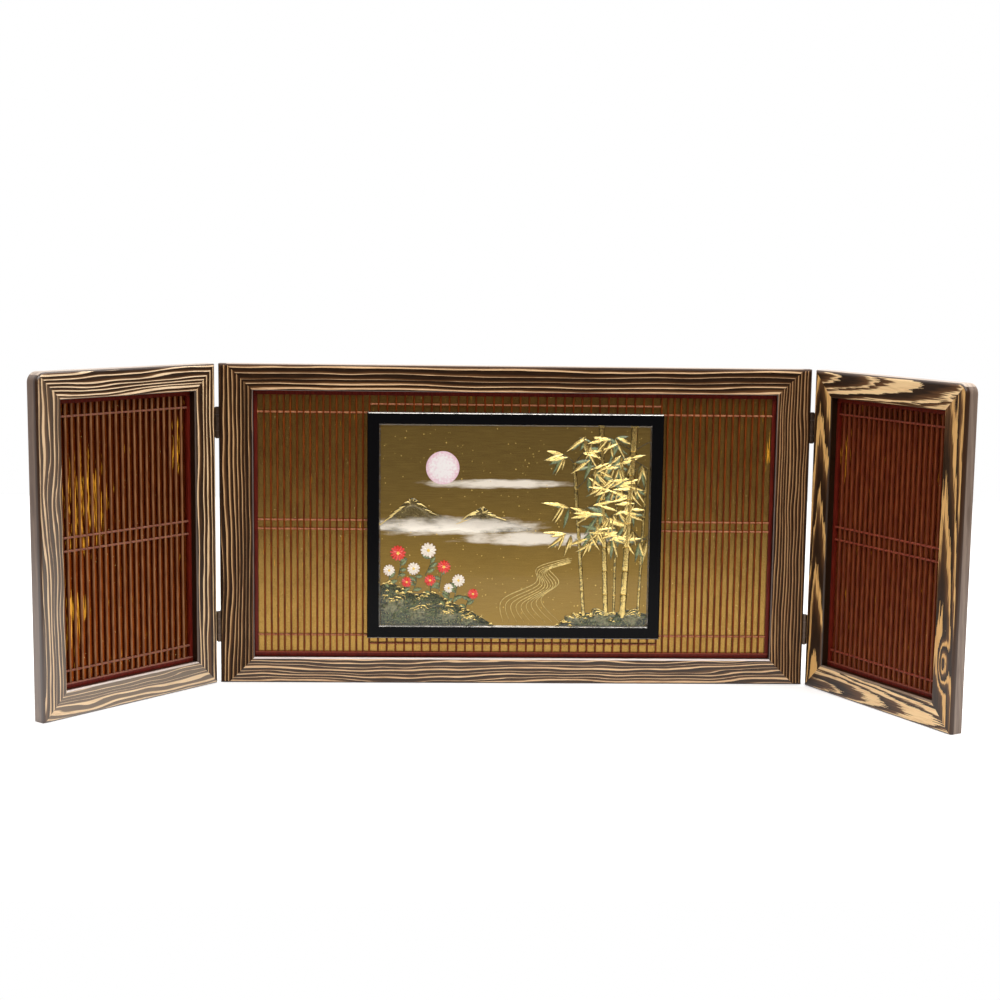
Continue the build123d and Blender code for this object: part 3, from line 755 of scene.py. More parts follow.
# The bars' lacquers are lighter and pinker than the slats': a painted highlight where their rounded tops
# catch the lamp above.
BAR_HIGHLIGHT_LACQUERS = {
    "centre": ("bar_lacquer", rgb(0.30, 0.095, 0.042), rgb(0.46, 0.19, 0.085)),
    "left_wing": ("left_bar_lacquer", rgb(0.17, 0.055, 0.034), rgb(0.26, 0.10, 0.062)),
    "right_wing": ("right_bar_lacquer", rgb(0.16, 0.026, 0.014), rgb(0.25, 0.052, 0.028)),
}
# Painted shade: the deep red on the sides of the left wing's slats.
SHADED_SIDE_REDS = {"left_wing": rgb(0.105, 0.013, 0.001)}
# Painted highlight: the pale red line along the border's arris.
ARRIS_HIGHLIGHT_REDS = {
    "centre": rgb(0.27, 0.055, 0.028),
    "left_wing": rgb(0.30, 0.115, 0.08),
    "right_wing": rgb(0.24, 0.055, 0.03),
}
# How deep the painted highlight reaches down the slats' sides, and how far below and above the slats' feet
# the border's painted highlight line reaches.
LIT_FRONT_DEPTH = 1.3
LIT_FRONT_FADE = 0.5
ARRIS_BELOW = 0.8
ARRIS_ABOVE = 0.1
ARRIS_FADE = 0.2
POOLS = (0.5, 0.5, 0.06)
ORANGE_PEEL = 0.02 * MM


def red_lacquer(name, deep, thin, paint_light=None):
    """Thin red lacquer over wood: deeper where it pooled, with a faint orange peel, and any painted light
    given laid over it.
    """
    finish, tree, shader = new_finish(
        name, Roughness=0.4, Specular_IOR_Level=0.12, Coat_Weight=0.1, Coat_Roughness=0.16
    )
    place = panel_place(tree, panels["centre"])
    pooled = cloud(tree, stretched(tree, place, POOLS), 1.0, 3.0)
    colour = blend_colour(tree, between(tree, pooled, 0.3, 0.7), deep, thin)
    if paint_light:
        colour = paint_light(tree, colour)
    wire(tree, shader, Base_Color=colour, Normal=bump(tree, cloud(tree, place, 1.3), ORANGE_PEEL))
    return finish


def lit_fronts_shaded_sides(body):
    """Paints light on the slats: keeps the paler colour on their fronts as a highlight and paints their
    sides deep red as shade.
    """
    front = corners_in([f"{body}_slats"], panels[body]["axes"])[0].y / MM

    def paint_light(tree, colour):
        depth = parts(tree, panel_place(tree, panels[body]))["Y"]
        sides = between(tree, depth, front + LIT_FRONT_DEPTH, front + LIT_FRONT_DEPTH + LIT_FRONT_FADE)
        return blend_colour(tree, sides, colour, SHADED_SIDE_REDS[body])

    return paint_light


def highlighted_arris(body, slats):
    """Paints a highlight on the border along the arris on which the slats stand."""
    foot = corners_in([slats], panels[body]["axes"])[0].z / MM

    def paint_light(tree, colour):
        height = parts(tree, panel_place(tree, panels[body]))["Z"]
        lower, upper = foot - ARRIS_BELOW, foot + ARRIS_ABOVE
        begins = between(tree, height, lower - ARRIS_FADE, lower)
        ends = between(tree, height, upper, upper + ARRIS_FADE, 1.0, 0.0)
        return blend_colour(tree, times(tree, begins, ends), colour, ARRIS_HIGHLIGHT_REDS[body])

    return paint_light


print("lacquers for", ", ".join(SLAT_LACQUERS))

# %% [markdown]
# The strips are all the same thing at different lengths: a small rectangular stick with rounded
# arrises. Their places come from the solids. A strip's faces are the only places where the
# solid has corners, so the sorted corner places pair up into strips.


# %% Slats, bars and borders
def strip_places(node, axes, axis):
    """Middles and width of a solid's strips along one of the panel's axes."""
    back = axes.inverted()
    found = sorted({round((back @ v.co)[axis], 5) for v in frame["nodes"][node].data.vertices})
    pairs = list(zip(found[::2], found[1::2]))
    return [(low + high) / 2 for low, high in pairs], pairs[0][1] - pairs[0][0]


def strips(node, body, upright, finish, edge, set_back=0.0):
    """Rounded strips that stand for one solid of the lattice."""
    axes = panels[body]["axes"]
    low, high = corners_in([node], axes)
    places, width = strip_places(node, axes, 0 if upright else 2)
    depth = high.y - low.y - set_back
    middle = (low + high) / 2
    middle.y = high.y - depth / 2
    turn = (0, 0, 0) if upright else (0, pi / 2, 0)
    size = (1, 1, high.z - low.z if upright else high.x - low.x)
    points = []
    for place in places:
        point = (place, middle.y, middle.z) if upright else (middle.x, middle.y, place)
        points.append((point, turn, size))
    sizes = {"Width": width, "Depth": depth, "Edge Radius": edge, "Finish": finish}
    piece = grow(f"{node}_lacquered", carrier(points), STRIPS, sizes, axes)
    hand_over(piece, body, "red_lacquer", node)


SLAT_EDGE = 0.5 * MM
BAR_EDGE = 0.8 * MM
BAR_SET_BACKS = {"centre": 0.45 * MM, "left_wing": 0.1 * MM, "right_wing": 0.1 * MM}
FIELDS = {
    "centre": ("centre_left", "centre_middle", "centre_right"),
    "left_wing": ("left_wing",),
    "right_wing": ("right_wing",),
}
for body, fields in FIELDS.items():
    paint_light = lit_fronts_shaded_sides(body) if body in SHADED_SIDE_REDS else None
    slat_finish = red_lacquer(*SLAT_LACQUERS[body], paint_light)
    bar_finish = red_lacquer(*BAR_HIGHLIGHT_LACQUERS[body])
    for field in fields:
        strips(f"{field}_slats", body, True, slat_finish, SLAT_EDGE)
        strips(f"{field}_bars", body, False, bar_finish, BAR_EDGE, BAR_SET_BACKS[body])
    paint_light = highlighted_arris(body, f"{fields[0]}_slats")
    dress(f"{body}_lattice_border", red_lacquer(f"border_lacquer_{body}", *BORDER_REDS, paint_light))

# %% [markdown]
# ## Gold paper
#
# Behind the lattice lies paper covered with metal leaf. Leaf is metal, so it has no colour of
# its own in the dark: it shows a broad blur of what faces it. Fine wrinkles break the blur up.
# In a few places bright upright streaks are painted into the finish as glints, and the wings'
# leaf is painted darker and redder as a painted reflection of the red slats and painted shade.
# The paper itself is one flat solid, so everything here is colour and fine bump.

# %% Gold paper finish
# Dull and bright leaf of each panel. The wings' colours are darker and redder than the centre's: a painted
# reflection of the red slats and painted shade.
LEAVES = {
    "centre": (rgb(0.295, 0.166, 0.042), rgb(0.41, 0.245, 0.064)),
    "left_wing": (rgb(0.20, 0.036, 0.004), rgb(0.265, 0.060, 0.008)),
    "right_wing": (rgb(0.40, 0.125, 0.036), rgb(0.50, 0.185, 0.055)),
}
# Colour of the painted glints, shown with the metal turned down.
GLINT_GOLD = rgb(1.0, 0.47, 0.03)
# Middle across and up, half width and half height of each spot, in millimetres.
GLINTS = {
    "centre": ((262, 236, 9, 30),),
    "left_wing": ((-48, 196, 34, 66), (-62, 92, 20, 40), (66, 240, 8, 44)),
    "right_wing": ((-68, 245, 10, 40),),
}
# How far a spot reaches, how much it strengthens the painted glint, and where the painted glint begins.
SPOT_REACH = 1.3
SPOT_PULL = 0.17
GLINT_CUT = (0.68, 0.74)
STREAKS = (0.8, 0, 0.035)
CREASES = (0.35, 1.0, 0.05)
CREASE_DEPTH = 0.22 * MM


def glint_mask(tree, place, spots):
    """Painted glints: upright streaks gathered about a few spots."""
    streaks = cloud(tree, stretched(tree, place, STREAKS), 1.0, 2.0, 0.6)
    near = 0.0
    for spot in spots:
        pull = between(tree, oval(tree, place, *spot), 0.0, SPOT_REACH, SPOT_PULL, 0.0)
        near = largest(tree, pull, near)
    return between(tree, plus(tree, streaks, near), *GLINT_CUT)


def gold_paper(body):
    """Metal leaf on paper: wrinkled and cloudy, with painted glints in a few bright streaks."""
    finish, tree, shader = new_finish(f"gold_paper_{body}", Roughness=0.3)
    place = panel_place(tree, panels[body])
    speckle = make(tree, "ShaderNodeTexVoronoi", {"Vector": place, "Scale": 0.9}).outputs["Color"]
    speckle = make(tree, "ShaderNodeSeparateColor", {0: speckle}).outputs[0]
    shade = plus(tree, times(tree, speckle, 0.3), times(tree, cloud(tree, place, 0.05, 3.0), 0.8))
    leaf = blend_colour(tree, between(tree, shade, 0.2, 0.8), *LEAVES[body])
    glint = glint_mask(tree, place, GLINTS[body])
    creases = cloud(tree, stretched(tree, place, CREASES), 1.0, 2.0)
    wrinkles = plus(tree, times(tree, cloud(tree, place, 0.8, 2.0), 0.12), creases)
    wire(
        tree,
        shader,
        Base_Color=blend_colour(tree, glint, leaf, GLINT_GOLD),
        Metallic=between(tree, glint, 0.0, 1.0, 1.0, 0.1),
        Normal=bump(tree, wrinkles, CREASE_DEPTH),
    )
    return finish


for body in panels:
    dress(f"{body}_gold_paper", gold_paper(body))
print("gold papers dressed:", len(panels))

# %% [markdown]
# Loose flecks of leaf lie on the paper, each tilted its own way, and catch a lamp here and
# there. They are real little plates, scattered over the face by Geometry Nodes from a fixed
# seed. The same tree later strews gold dust over the picture.


# %% The fleck tree
def random_vector(tree, low, high, seed):
    """A random vector for each point, between two others."""
    inputs = {"Min": low, "Max": high, "Seed": seed}
    return make(tree, "FunctionNodeRandomValue", inputs, data_type="FLOAT_VECTOR").outputs[0]


def fleck_tree():
    """Small six-sided plates scattered over a face, each spun and tilted at random."""
    sizes = [(name, "NodeSocketFloat") for name in ("Density", "Smallest", "Largest", "Thickness", "Tilt")]
    sockets = sizes + [("Seed", "NodeSocketInt"), ("Finish", "NodeSocketMaterial")]
    tree, given = new_tree("leaf flecks", sockets)
    spread = {"Mesh": given["Geometry"], "Density": given["Density"], "Seed": given["Seed"]}
    scattered = make(tree, "GeometryNodeDistributePointsOnFaces", spread).outputs
    plain = {"Vertices": 6, "Radius": 1.0, "Depth": 1.0}
    plate = make(tree, "GeometryNodeMeshCylinder", plain, fill_type="NGON").outputs["Mesh"]
    tilt = given["Tilt"]
    lean = times(tree, tilt, -1.0)
    any_turn = random_vector(
        tree, vector(tree, lean, lean, 0.0), vector(tree, tilt, tilt, 2 * pi), given["Seed"]
    )
    spin = make(tree, "FunctionNodeEulerToRotation", {0: any_turn}).outputs[0]
    facing = {0: scattered["Rotation"], 1: spin}
    turned = make(tree, "FunctionNodeRotateRotation", facing, rotation_space="LOCAL").outputs[0]
    small, large, thick = given["Smallest"], given["Largest"], given["Thickness"]
    narrow, wide = vector(tree, small, small, thick), vector(tree, large, large, thick)
    size = random_vector(tree, narrow, wide, plus(tree, given["Seed"], 1.0))
    places = {"Points": scattered["Points"], "Instance": plate, "Rotation": turned, "Scale": size}
    close_tree(tree, given, make(tree, "GeometryNodeInstanceOnPoints", places).outputs[0])
    return tree


FLECKS = fleck_tree()
print("tree:", FLECKS.name, "with", len(FLECKS.nodes), "nodes")


# %% Flecks on the papers
def face_sheet(low, high, depth):
    """A flat face that looks at the viewer, to scatter things on."""
    mesh = bpy.data.meshes.new("sheet")
    foot = [(low.x, depth, low.z), (high.x, depth, low.z)]
    head = [(high.x, depth, high.z), (low.x, depth, high.z)]
    mesh.from_pydata(foot + head, [], [(0, 1, 2, 3)])
    return mesh


LEAF_BRIGHT = rgb(0.95, 0.72, 0.32)


def leaf_gold():
    """Bright leaf for the loose flecks."""
    finish, tree, shader = new_finish("gold_leaf_flecks", Metallic=1.0, Roughness=0.22)
    shade = cloud(tree, panel_place(tree, panels["centre"]), 0.7)
    wire(tree, shader, Base_Color=blend_colour(tree, shade, LEAVES["centre"][1], LEAF_BRIGHT))
    return finish


PAPER_FLECKS = {
    "Density": 24000.0,
    "Smallest": 0.12 * MM,
    "Largest": 0.5 * MM,
    "Thickness": 0.04 * MM,
    "Tilt": 0.22,
    "Finish": leaf_gold(),
}
FIRST_FLECK_SEED = 11
# The solid whose outline bounds the flecks on each panel.
FLECK_BOUNDS = {
    "centre": "centre_lattice_border",
    "left_wing": "left_wing_slats",
    "right_wing": "right_wing_slats",
}

for number, (body, bounds) in enumerate(FLECK_BOUNDS.items()):
    axes = panels[body]["axes"]
    low, high = corners_in([bounds], axes)
    paper_face = corners_in([f"{body}_gold_paper"], axes)[0].y
    inputs = {**PAPER_FLECKS, "Seed": FIRST_FLECK_SEED + number}
    piece = grow(f"{body}_leaf_flecks", face_sheet(low, high, paper_face), FLECKS, inputs, axes)
    hand_over(piece, body, "gold_paper")

# %% [markdown]
# ## Hinges, boards, brads and keys
#
# The small metal is dark bronze, a little worn. The backing boards are stained nearly black,
# the brads that hold them are plain steel, and the keys across the mitres are bare wood. Their
# solids already have the right shape, so a cloudy colour and a fine grain are enough.

# %% Plain finishes
# Ends of the node names, darkest and lightest colour, scale and depth of the grain, sockets.
PLAIN_FINISHES = {
    "hinge_bronze": (
        ("leaf", "pin", "hinge_screws"),
        rgb(0.030, 0.021, 0.016),
        rgb(0.15, 0.105, 0.075),
        2.0,
        0.02 * MM,
        {"Metallic": 0.8, "Roughness": 0.32},
    ),
    "brad_steel": (
        ("back_brads",),
        rgb(0.35, 0.34, 0.32),
        rgb(0.55, 0.53, 0.5),
        3.0,
        0.01 * MM,
        {"Metallic": 1.0, "Roughness": 0.35},
    ),
    "back_board": (
        ("back_board",),
        rgb(0.035, 0.028, 0.022),
        rgb(0.075, 0.058, 0.045),
        1.2,
        0.05 * MM,
        {"Roughness": 0.75},
    ),
    "key_wood": (
        ("mitre_keys",),
        rgb(0.36, 0.24, 0.13),
        rgb(0.55, 0.4, 0.24),
        0.8,
        0.05 * MM,
        {"Roughness": 0.65},
    ),
}


def plain_finish(name, dark, light, grain, depth, sockets):
    """A plain finish with a cloudy colour and a fine grain in the surface."""
    finish, tree, shader = new_finish(name, **sockets)
    place = panel_place(tree, panels["centre"])
    colour = blend_colour(tree, cloud(tree, place, 0.3, 4.0), dark, light)
    wire(tree, shader, Base_Color=colour, Normal=bump(tree, cloud(tree, place, grain, 3.0), depth))
    return finish


for name, (endings, *recipe) in PLAIN_FINISHES.items():
    finish = plain_finish(name, *recipe)
    nodes = [node for node in frame["nodes"] if node.endswith(endings)]
    for node in nodes:
        dress(node, finish)
    print(name, "on", len(nodes), "nodes")

# %% [markdown]
# ## The lacquer picture
#
# The board carries a raised picture in gold and colours: bamboo at the right, a moon and low
# hills in mist at the left, and chrysanthemums on a mossy bank. Such work is built up in
# layers of lacquer and then gilded, so it is real relief, one to two millimetres high. Every
# shape is drawn in the board's own plane, in millimetres: u to the right, v up, w outwards.

# %% The board's own plane
CENTRE_AXES = panels["centre"]["axes"]
board_low, board_high = corners_in(["picture_board"], CENTRE_AXES)
BOARD_FRONT = (board_low + board_high) / 2
BOARD_FRONT.y = board_low.y
ON_BOARD = CENTRE_AXES @ Matrix.Translation(BOARD_FRONT)
ON_BOARD = ON_BOARD @ Matrix.Rotation(pi / 2, 4, "X") @ Matrix.Scale(MM, 4)
side_high = corners_in(["picture_left_moulding"], CENTRE_AXES)[1]
foot_low, foot_high = corners_in(["picture_bottom_moulding"], CENTRE_AXES)
head_high = corners_in(["picture_top_moulding"], CENTRE_AXES)[1]
HALF_WIDE = (BOARD_FRONT.x - side_high.x) / MM
HALF_HIGH = (BOARD_FRONT.z - foot_high.z) / MM
MOULDING_FRONT = (foot_low.y - BOARD_FRONT.y) / MM
TOP_EDGE = (head_high.z - BOARD_FRONT.z) / MM
print("visible board mm", round(2 * HALF_WIDE, 1), "x", round(2 * HALF_HIGH, 1))
print("board set back mm", round(-MOULDING_FRONT, 2))


def board_place(tree):
    """Where a surface point lies on the board: u, minus w and v."""
    return panel_place(tree, panels["centre"], BOARD_FRONT)


# %% [markdown]
# The ground is gold dust under clear lacquer, darker towards the top. White mist is sprayed
# over it in bands. A band is a soft oval, frayed by noise that runs sideways, and the same
# bands also cover the feet of the hills.

# %% The ground of the picture
GROUND_TOP = rgb(0.118, 0.072, 0.015)
GROUND_LOW = rgb(0.285, 0.172, 0.026)
DUST_YELLOW = rgb(0.75, 0.52, 0.14)
MIST_WHITE = rgb(0.88, 0.81, 0.69)
# Middle, half width and half height of each band, in millimetres.
MIST_BANDS = ((-64, 0, 88, 9), (22, -12, 76, 7), (-16, 44, 70, 4.5))
MIST_FRAY = (1 / 32, 0, 1 / 7)
MIST_COVER = 0.92
BRUSH_MARKS = (0.05, 1, 0.9)
CLOUD_REACH = 50.0


def mist_mask(tree, place):
    """Bands of mist, from 0 where there is none to nearly 1."""
    frayed = cloud(tree, stretched(tree, place, MIST_FRAY), 1.0, 4.0, 0.6)
    frayed = times(tree, minus(tree, frayed, 0.5), 3.0)
    mask = 0.0
    for band in MIST_BANDS:
        reach = plus(tree, oval(tree, place, *band), frayed)
        mask = largest(tree, between(tree, reach, 0.1, 1.5, MIST_COVER, 0.0), mask)
    return mask


def picture_ground():
    """Dusted gold that darkens upwards, with mist sprayed over it under clear lacquer."""
    finish, tree, shader = new_finish(
        "picture_ground", Roughness=0.36, Specular_IOR_Level=0.3, Coat_Weight=0.3, Coat_Roughness=0.08
    )
    place = board_place(tree)
    clouds = times(tree, cloud(tree, place, 0.02, 2.0), CLOUD_REACH)
    height = plus(tree, parts(tree, place)["Z"], clouds)
    ground = blend_colour(tree, between(tree, height, -HALF_HIGH, HALF_HIGH), GROUND_LOW, GROUND_TOP)
    brushed = cloud(tree, stretched(tree, place, BRUSH_MARKS), 1.0, 3.0)
    grain = plus(tree, times(tree, cloud(tree, place, 2.2, 2.0), 0.8), times(tree, brushed, 0.22))
    ground = blend_colour(tree, between(tree, grain, 0.42, 0.75, 0.0, 0.3), ground, DUST_YELLOW)
    mist = mist_mask(tree, place)
    wire(
        tree,
        shader,
        Base_Color=blend_colour(tree, mist, ground, MIST_WHITE),
        Metallic=between(tree, mist, 0.0, 0.6, 0.4, 0.0),
        Normal=bump(tree, grain, 0.01 * MM),
    )
    return finish


dress("picture_board", picture_ground())
print("bands of mist:", len(MIST_BANDS))

# %% [markdown]
# The mouldings are black lacquer with a thin silver line rubbed onto the bevel beside the board.
# The outer arrises at the top and the foot carry the same silver as a painted highlight. Where the
# silver and the highlight lie is worked out from the distance to the board's edge, so one finish
# serves all four mouldings.

# %% Black lacquer with a silver line and painted highlights
LACQUER_BLACK = rgb(0.004, 0.004, 0.0045)
# Silver of the bevel line, also used as the painted highlight on the outer arrises.
SILVER_AND_HIGHLIGHT = rgb(0.40, 0.38, 0.35)
TOP_LINE = 1.5
FOOT_LINE = 1.0
FOOT_HIGHLIGHT = 0.7
BEVEL_REACH = 1.9
BEVEL_SUNK = 0.25
LINE_FADE = 0.2


def black_lacquer():
    """Satin black, with silver on the bevel and a painted silver highlight on the outer top and foot
    arrises.
    """
    finish, tree, shader = new_finish("black_lacquer", Roughness=0.22, Specular_IOR_Level=0.05)
    place = board_place(tree)
    split = parts(tree, place)
    aside = minus(tree, maths(tree, "ABSOLUTE", split["X"]), HALF_WIDE)
    above = minus(tree, maths(tree, "ABSOLUTE", split["Z"]), HALF_HIGH)
    bevel = MOULDING_FRONT + BEVEL_SUNK
    sunk = between(tree, split["Y"], bevel, bevel + LINE_FADE)
    beside = between(tree, largest(tree, aside, above), BEVEL_REACH, BEVEL_REACH + LINE_FADE, 1.0, 0.0)
    # Painted highlight in silver on the outer top and foot arrises.
    top, foot = TOP_EDGE - TOP_LINE, FOOT_LINE - TOP_EDGE
    on_top = between(tree, split["Z"], top, top + LINE_FADE)
    on_foot = between(tree, split["Z"], foot, foot + LINE_FADE, FOOT_HIGHLIGHT, 0.0)
    patchy = between(tree, cloud(tree, place, 0.35, 3.0), 0.3, 0.55, 0.6, 1.0)
    silver_and_highlight = times(tree, largest(tree, times(tree, sunk, beside), on_top, on_foot), patchy)
    colour = blend_colour(tree, silver_and_highlight, LACQUER_BLACK, SILVER_AND_HIGHLIGHT)
    gloss = bump(tree, cloud(tree, place, 0.15, 3.0), 0.01 * MM)
    wire(tree, shader, Base_Color=colour, Metallic=silver_and_highlight, Normal=gloss)
    return finish


mouldings = [f"picture_{side}_moulding" for side in ("left", "right", "top", "bottom")]
moulding_finish = black_lacquer()
for node in mouldings:
    dress(node, moulding_finish)
print("mouldings dressed:", len(mouldings))

# %% [markdown]
# ## Finishes of the relief
#
# The relief is built up lacquer. Each finish goes from a hollow colour to a crest colour by
# height over the board: painted shade in the hollows and a painted highlight on what stands
# highest. Leaves, moss, stones and hills are also strewn with a few grains of another colour.

# %% Finishes of the relief
# Hollow colour (painted shade), crest colour (painted highlight), height of the crest in millimetres,
# grains, metallic and roughness.
RELIEF_RECIPES = {
    "embossed_gold": ((0.05, 0.045, 0.018), (0.80, 0.59, 0.19), 1.5, None, 0.85, 0.26),
    "line_gold": ((0.30, 0.22, 0.07), (0.86, 0.66, 0.24), 0.4, None, 0.7, 0.3),
    "hill_gold": ((0.022, 0.020, 0.009), (0.13, 0.095, 0.035), 1.6, (0.7, 0.55, 0.18), 0.5, 0.3),
    "leaf_green": ((0.012, 0.02, 0.01), (0.19, 0.24, 0.10), 1.0, (0.5, 0.5, 0.2), 0.2, 0.35),
    "moss_green": ((0.006, 0.011, 0.006), (0.085, 0.115, 0.045), 2.2, (0.5, 0.42, 0.12), 0.0, 0.4),
    "stone_grey": ((0.012, 0.012, 0.008), (0.23, 0.21, 0.11), 2.4, (0.12, 0.24, 0.09), 0.3, 0.35),
    "petal_red": ((0.28, 0.008, 0.006), (0.78, 0.045, 0.025), 0.9, None, 0.0, 0.3),
    "petal_white": ((0.62, 0.40, 0.26), (0.88, 0.80, 0.68), 0.9, None, 0.0, 0.3),
    "heart_yellow": ((0.45, 0.22, 0.03), (0.9, 0.62, 0.12), 1.4, None, 0.0, 0.3),
    "moon_pearl": ((0.80, 0.52, 0.60), (0.90, 0.86, 0.84), 0.8, None, 0.0, 0.22),
    "dust_gold": ((0.75, 0.52, 0.12), (0.95, 0.74, 0.24), 0.3, None, 0.25, 0.3),
}
UNDER_MIST = ("hill_gold",)
MOTTLING = 1.6
GRAIN_CUT = (0.6, 0.66)


def relief_finish(name, hollow, crest, reach, grains, metallic, roughness):
    """Built up lacquer: painted shade in its hollows, a painted highlight on what stands highest."""
    finish, tree, shader = new_finish(
        name, Metallic=metallic, Roughness=roughness, Coat_Weight=0.4, Coat_Roughness=0.1
    )
    place = board_place(tree)
    mottle = times(tree, minus(tree, cloud(tree, place, 0.45, 4.0), 0.5), reach * MOTTLING)
    rise = minus(tree, mottle, parts(tree, place)["Y"])
    # Painted shade in the hollows, going to a painted highlight on the crests.
    colour = blend_colour(tree, between(tree, rise, 0.1, reach), rgb(*hollow), rgb(*crest))
    if grains:
        strewn = between(tree, cloud(tree, place, 1.6, 2.0), *GRAIN_CUT)
        colour = blend_colour(tree, strewn, colour, rgb(*grains))
    if name in UNDER_MIST:
        colour = blend_colour(tree, mist_mask(tree, place), colour, MIST_WHITE)
    wire(tree, shader, Base_Color=colour, Normal=bump(tree, cloud(tree, place, 1.1, 3.0), 0.1 * MM))
    return finish


relief = {name: relief_finish(name, *recipe) for name, recipe in RELIEF_RECIPES.items()}
print("finishes of the relief:", len(relief))

# %% [markdown]
# Three helpers draw all the large shapes. A pillow rises over an outline in rings, a ribbon
# follows a path, and both are closed skins through loops of equal length. A soft curve turns a
# few chosen points into a smooth outline or path.

# %% Drawing helpers
SUNK = 0.05
MERGED = 0.0005
STREWN = Random(2024)


def soft_curve(points, steps=6, closed=False):
    """Points on a smooth curve that passes through a few given ones."""
    count = len(points)
    line = []
    for span in range(count if closed else count - 1):
        around = [span + k for k in (-1, 0, 1, 2)]
        around = [i % count if closed else min(max(i, 0), count - 1) for i in around]
        a, b, c, d = (Vector(points[i]) for i in around)
        bend, twist = 2 * a - 5 * b + 4 * c - d, 3 * b - a - 3 * c + d
        for step in range(steps):
            t = step / steps
            line.append(b + ((c - a) * t + bend * t * t + twist * t**3) / 2)
    if not closed:
        line.append(Vector(points[-1]))
    return line


def skin(loops):
    """A closed shell through loops of equal length, capped at both ends."""
    count = len(loops[0])
    points = [point for loop in loops for point in loop]
    faces = [tuple(range(count)), tuple(range(len(points) - count, len(points)))]
    for start in range(0, len(points) - count, count):
        for i in range(count):
            j = (i + 1) % count
            faces.append((start + i, start + j, start + count + j, start + count + i))
    return points, faces


def pillow(outline, height, ruffle=0.0, peak=None, steps=9, fold=0.16):
    """A low cushion over an outline, with folds: rings that shrink to a peak as they rise."""
    middle = Vector(peak) if peak else sum(outline, Vector((0, 0))) / len(outline)
    loops = [[(p.x, p.y, -SUNK) for p in outline]]
    for step in range(steps + 1):
        turn = 0.98 * pi / 2 * step / steps
        loop = []
        for p in outline:
            q = middle + (p - middle) * cos(turn)
            rough = 1 + ruffle * noise.noise(Vector((q.x * fold, q.y * fold * 2, 0)))
            loop.append((q.x, q.y, height * sin(turn) * rough))
        loops.append(loop)
    return skin(loops)


def ribbon(path, widths, height, lift=0.0):
    """A rounded band along a path, with its own width at every point."""
    loops = []
    for i, point in enumerate(path):
        along = path[min(i + 1, len(path) - 1)] - path[max(i - 1, 0)]
        aside = Vector((-along.y, along.x)).normalized() * widths[i] / 2
        turns = [pi * part / 4 for part in range(5)]
        across = [point - aside * cos(turn) for turn in turns]
        loops.append([(q.x, q.y, lift - SUNK + height * sin(turn)) for q, turn in zip(across, turns)])
    return skin(loops)


def tapered(path, thick, height, lift=0.0):
    """A ribbon that thins towards both ends."""
    last = len(path) - 1
    widths = [thick * (0.15 + 0.85 * sin(pi * (0.12 + 0.76 * i / last))) for i in range(last + 1)]
    return ribbon(path, widths, height, lift)


def blob(u, v, wide, high, uneven, count=30):
    """A rounded uneven outline about a middle."""
    outline = []
    for i in range(count):
        turn = 2 * pi * i / count
        swell = 1 + uneven * noise.noise(Vector((u + 1.7 * cos(turn), v + 1.7 * sin(turn), 3)))
        outline.append(Vector((u + wide * swell * cos(turn), v + high * swell * sin(turn))))
    return outline


# %% Laying shapes on the board
def closed_mesh(name, points, faces):
    """A mesh of closed shells, with doubles merged and every face turned outwards."""
    mesh = bpy.data.meshes.new(name)
    mesh.from_pydata(points, [], faces)
    work = bmesh.new()
    work.from_mesh(mesh)
    bmesh.ops.remove_doubles(work, verts=work.verts, dist=MERGED)
    bmesh.ops.recalc_face_normals(work, faces=work.faces)
    work.to_mesh(mesh)
    work.free()
    return mesh


def emboss(name, shapes, finish):
    """Joins raised shapes into one piece that lies on the board."""
    points, faces = [], []
    for shape_points, shape_faces in shapes:
        start = len(points)
        points += shape_points
        faces += [tuple(start + i for i in face) for face in shape_faces]
    mesh = closed_mesh(name, points, faces)
    mesh.transform(ON_BOARD)
    mesh.materials.append(relief[finish])
    hand_over(keep_piece(name, mesh, smooth_angle=55), "centre", "picture_panel")


def in_view(u, v, margin=0.0):
    """Whether a point of the board lies inside the mouldings, by a margin."""
    return abs(u) < HALF_WIDE - margin and abs(v) < HALF_HIGH - margin


# %% [markdown]
# ## Moon and hills
#
# The moon is pearl shell, a round pillow so low that only its rim shows. A hill is a wrinkled
# pillow with its peak near the top of its outline, and gold ridges run from the peak to points
# along the foot, each bent a little at random.

# %% Moon and hills
MOON_MIDDLE = (-74.0, 60.0)
MOON_RADIUS = 17.0
MOON_HEIGHT = 0.8
# Outline, peak and height of each hill.
HILLS = (
    (
        [
            (-138, -3), (-130, 8), (-118, 19), (-105, 29), (-95, 23),
            (-82, 13), (-64, 6), (-46, 0), (-70, -5), (-110, -6),
        ],
        (-105, 22),
        1.5,
    ),
    (
        [
            (-62, -1), (-52, 8), (-44, 14), (-33, 20), (-24, 14),
            (-12, 8), (4, 2), (18, -3), (-12, -6), (-44, -6),
        ],
        (-33, 14),
        1.2,
    ),
)
RIDGE_FEET = slice(2, 27, 2)

disc = blob(*MOON_MIDDLE, MOON_RADIUS, MOON_RADIUS, uneven=0, count=48)
emboss("picture_moon", [pillow(disc, MOON_HEIGHT)], "moon_pearl")
slopes, ridges = [], []
for points, peak, height in HILLS:
    outline = soft_curve(points, steps=5, closed=True)
    slopes.append(pillow(outline, height, ruffle=0.5, peak=peak, steps=10, fold=0.3))
    for foot in outline[RIDGE_FEET]:
        bend = Vector((STREWN.uniform(-2, 2), STREWN.uniform(-1, 3)))
        path = soft_curve([Vector(peak), Vector(peak).lerp(foot, 0.5) + bend, foot], steps=4)
        ridges.append(tapered(path, STREWN.uniform(0.9, 1.7), height=0.5, lift=height * 0.55))
emboss("picture_hills", slopes, "hill_gold")
emboss("picture_hill_ridges", ridges, "line_gold")

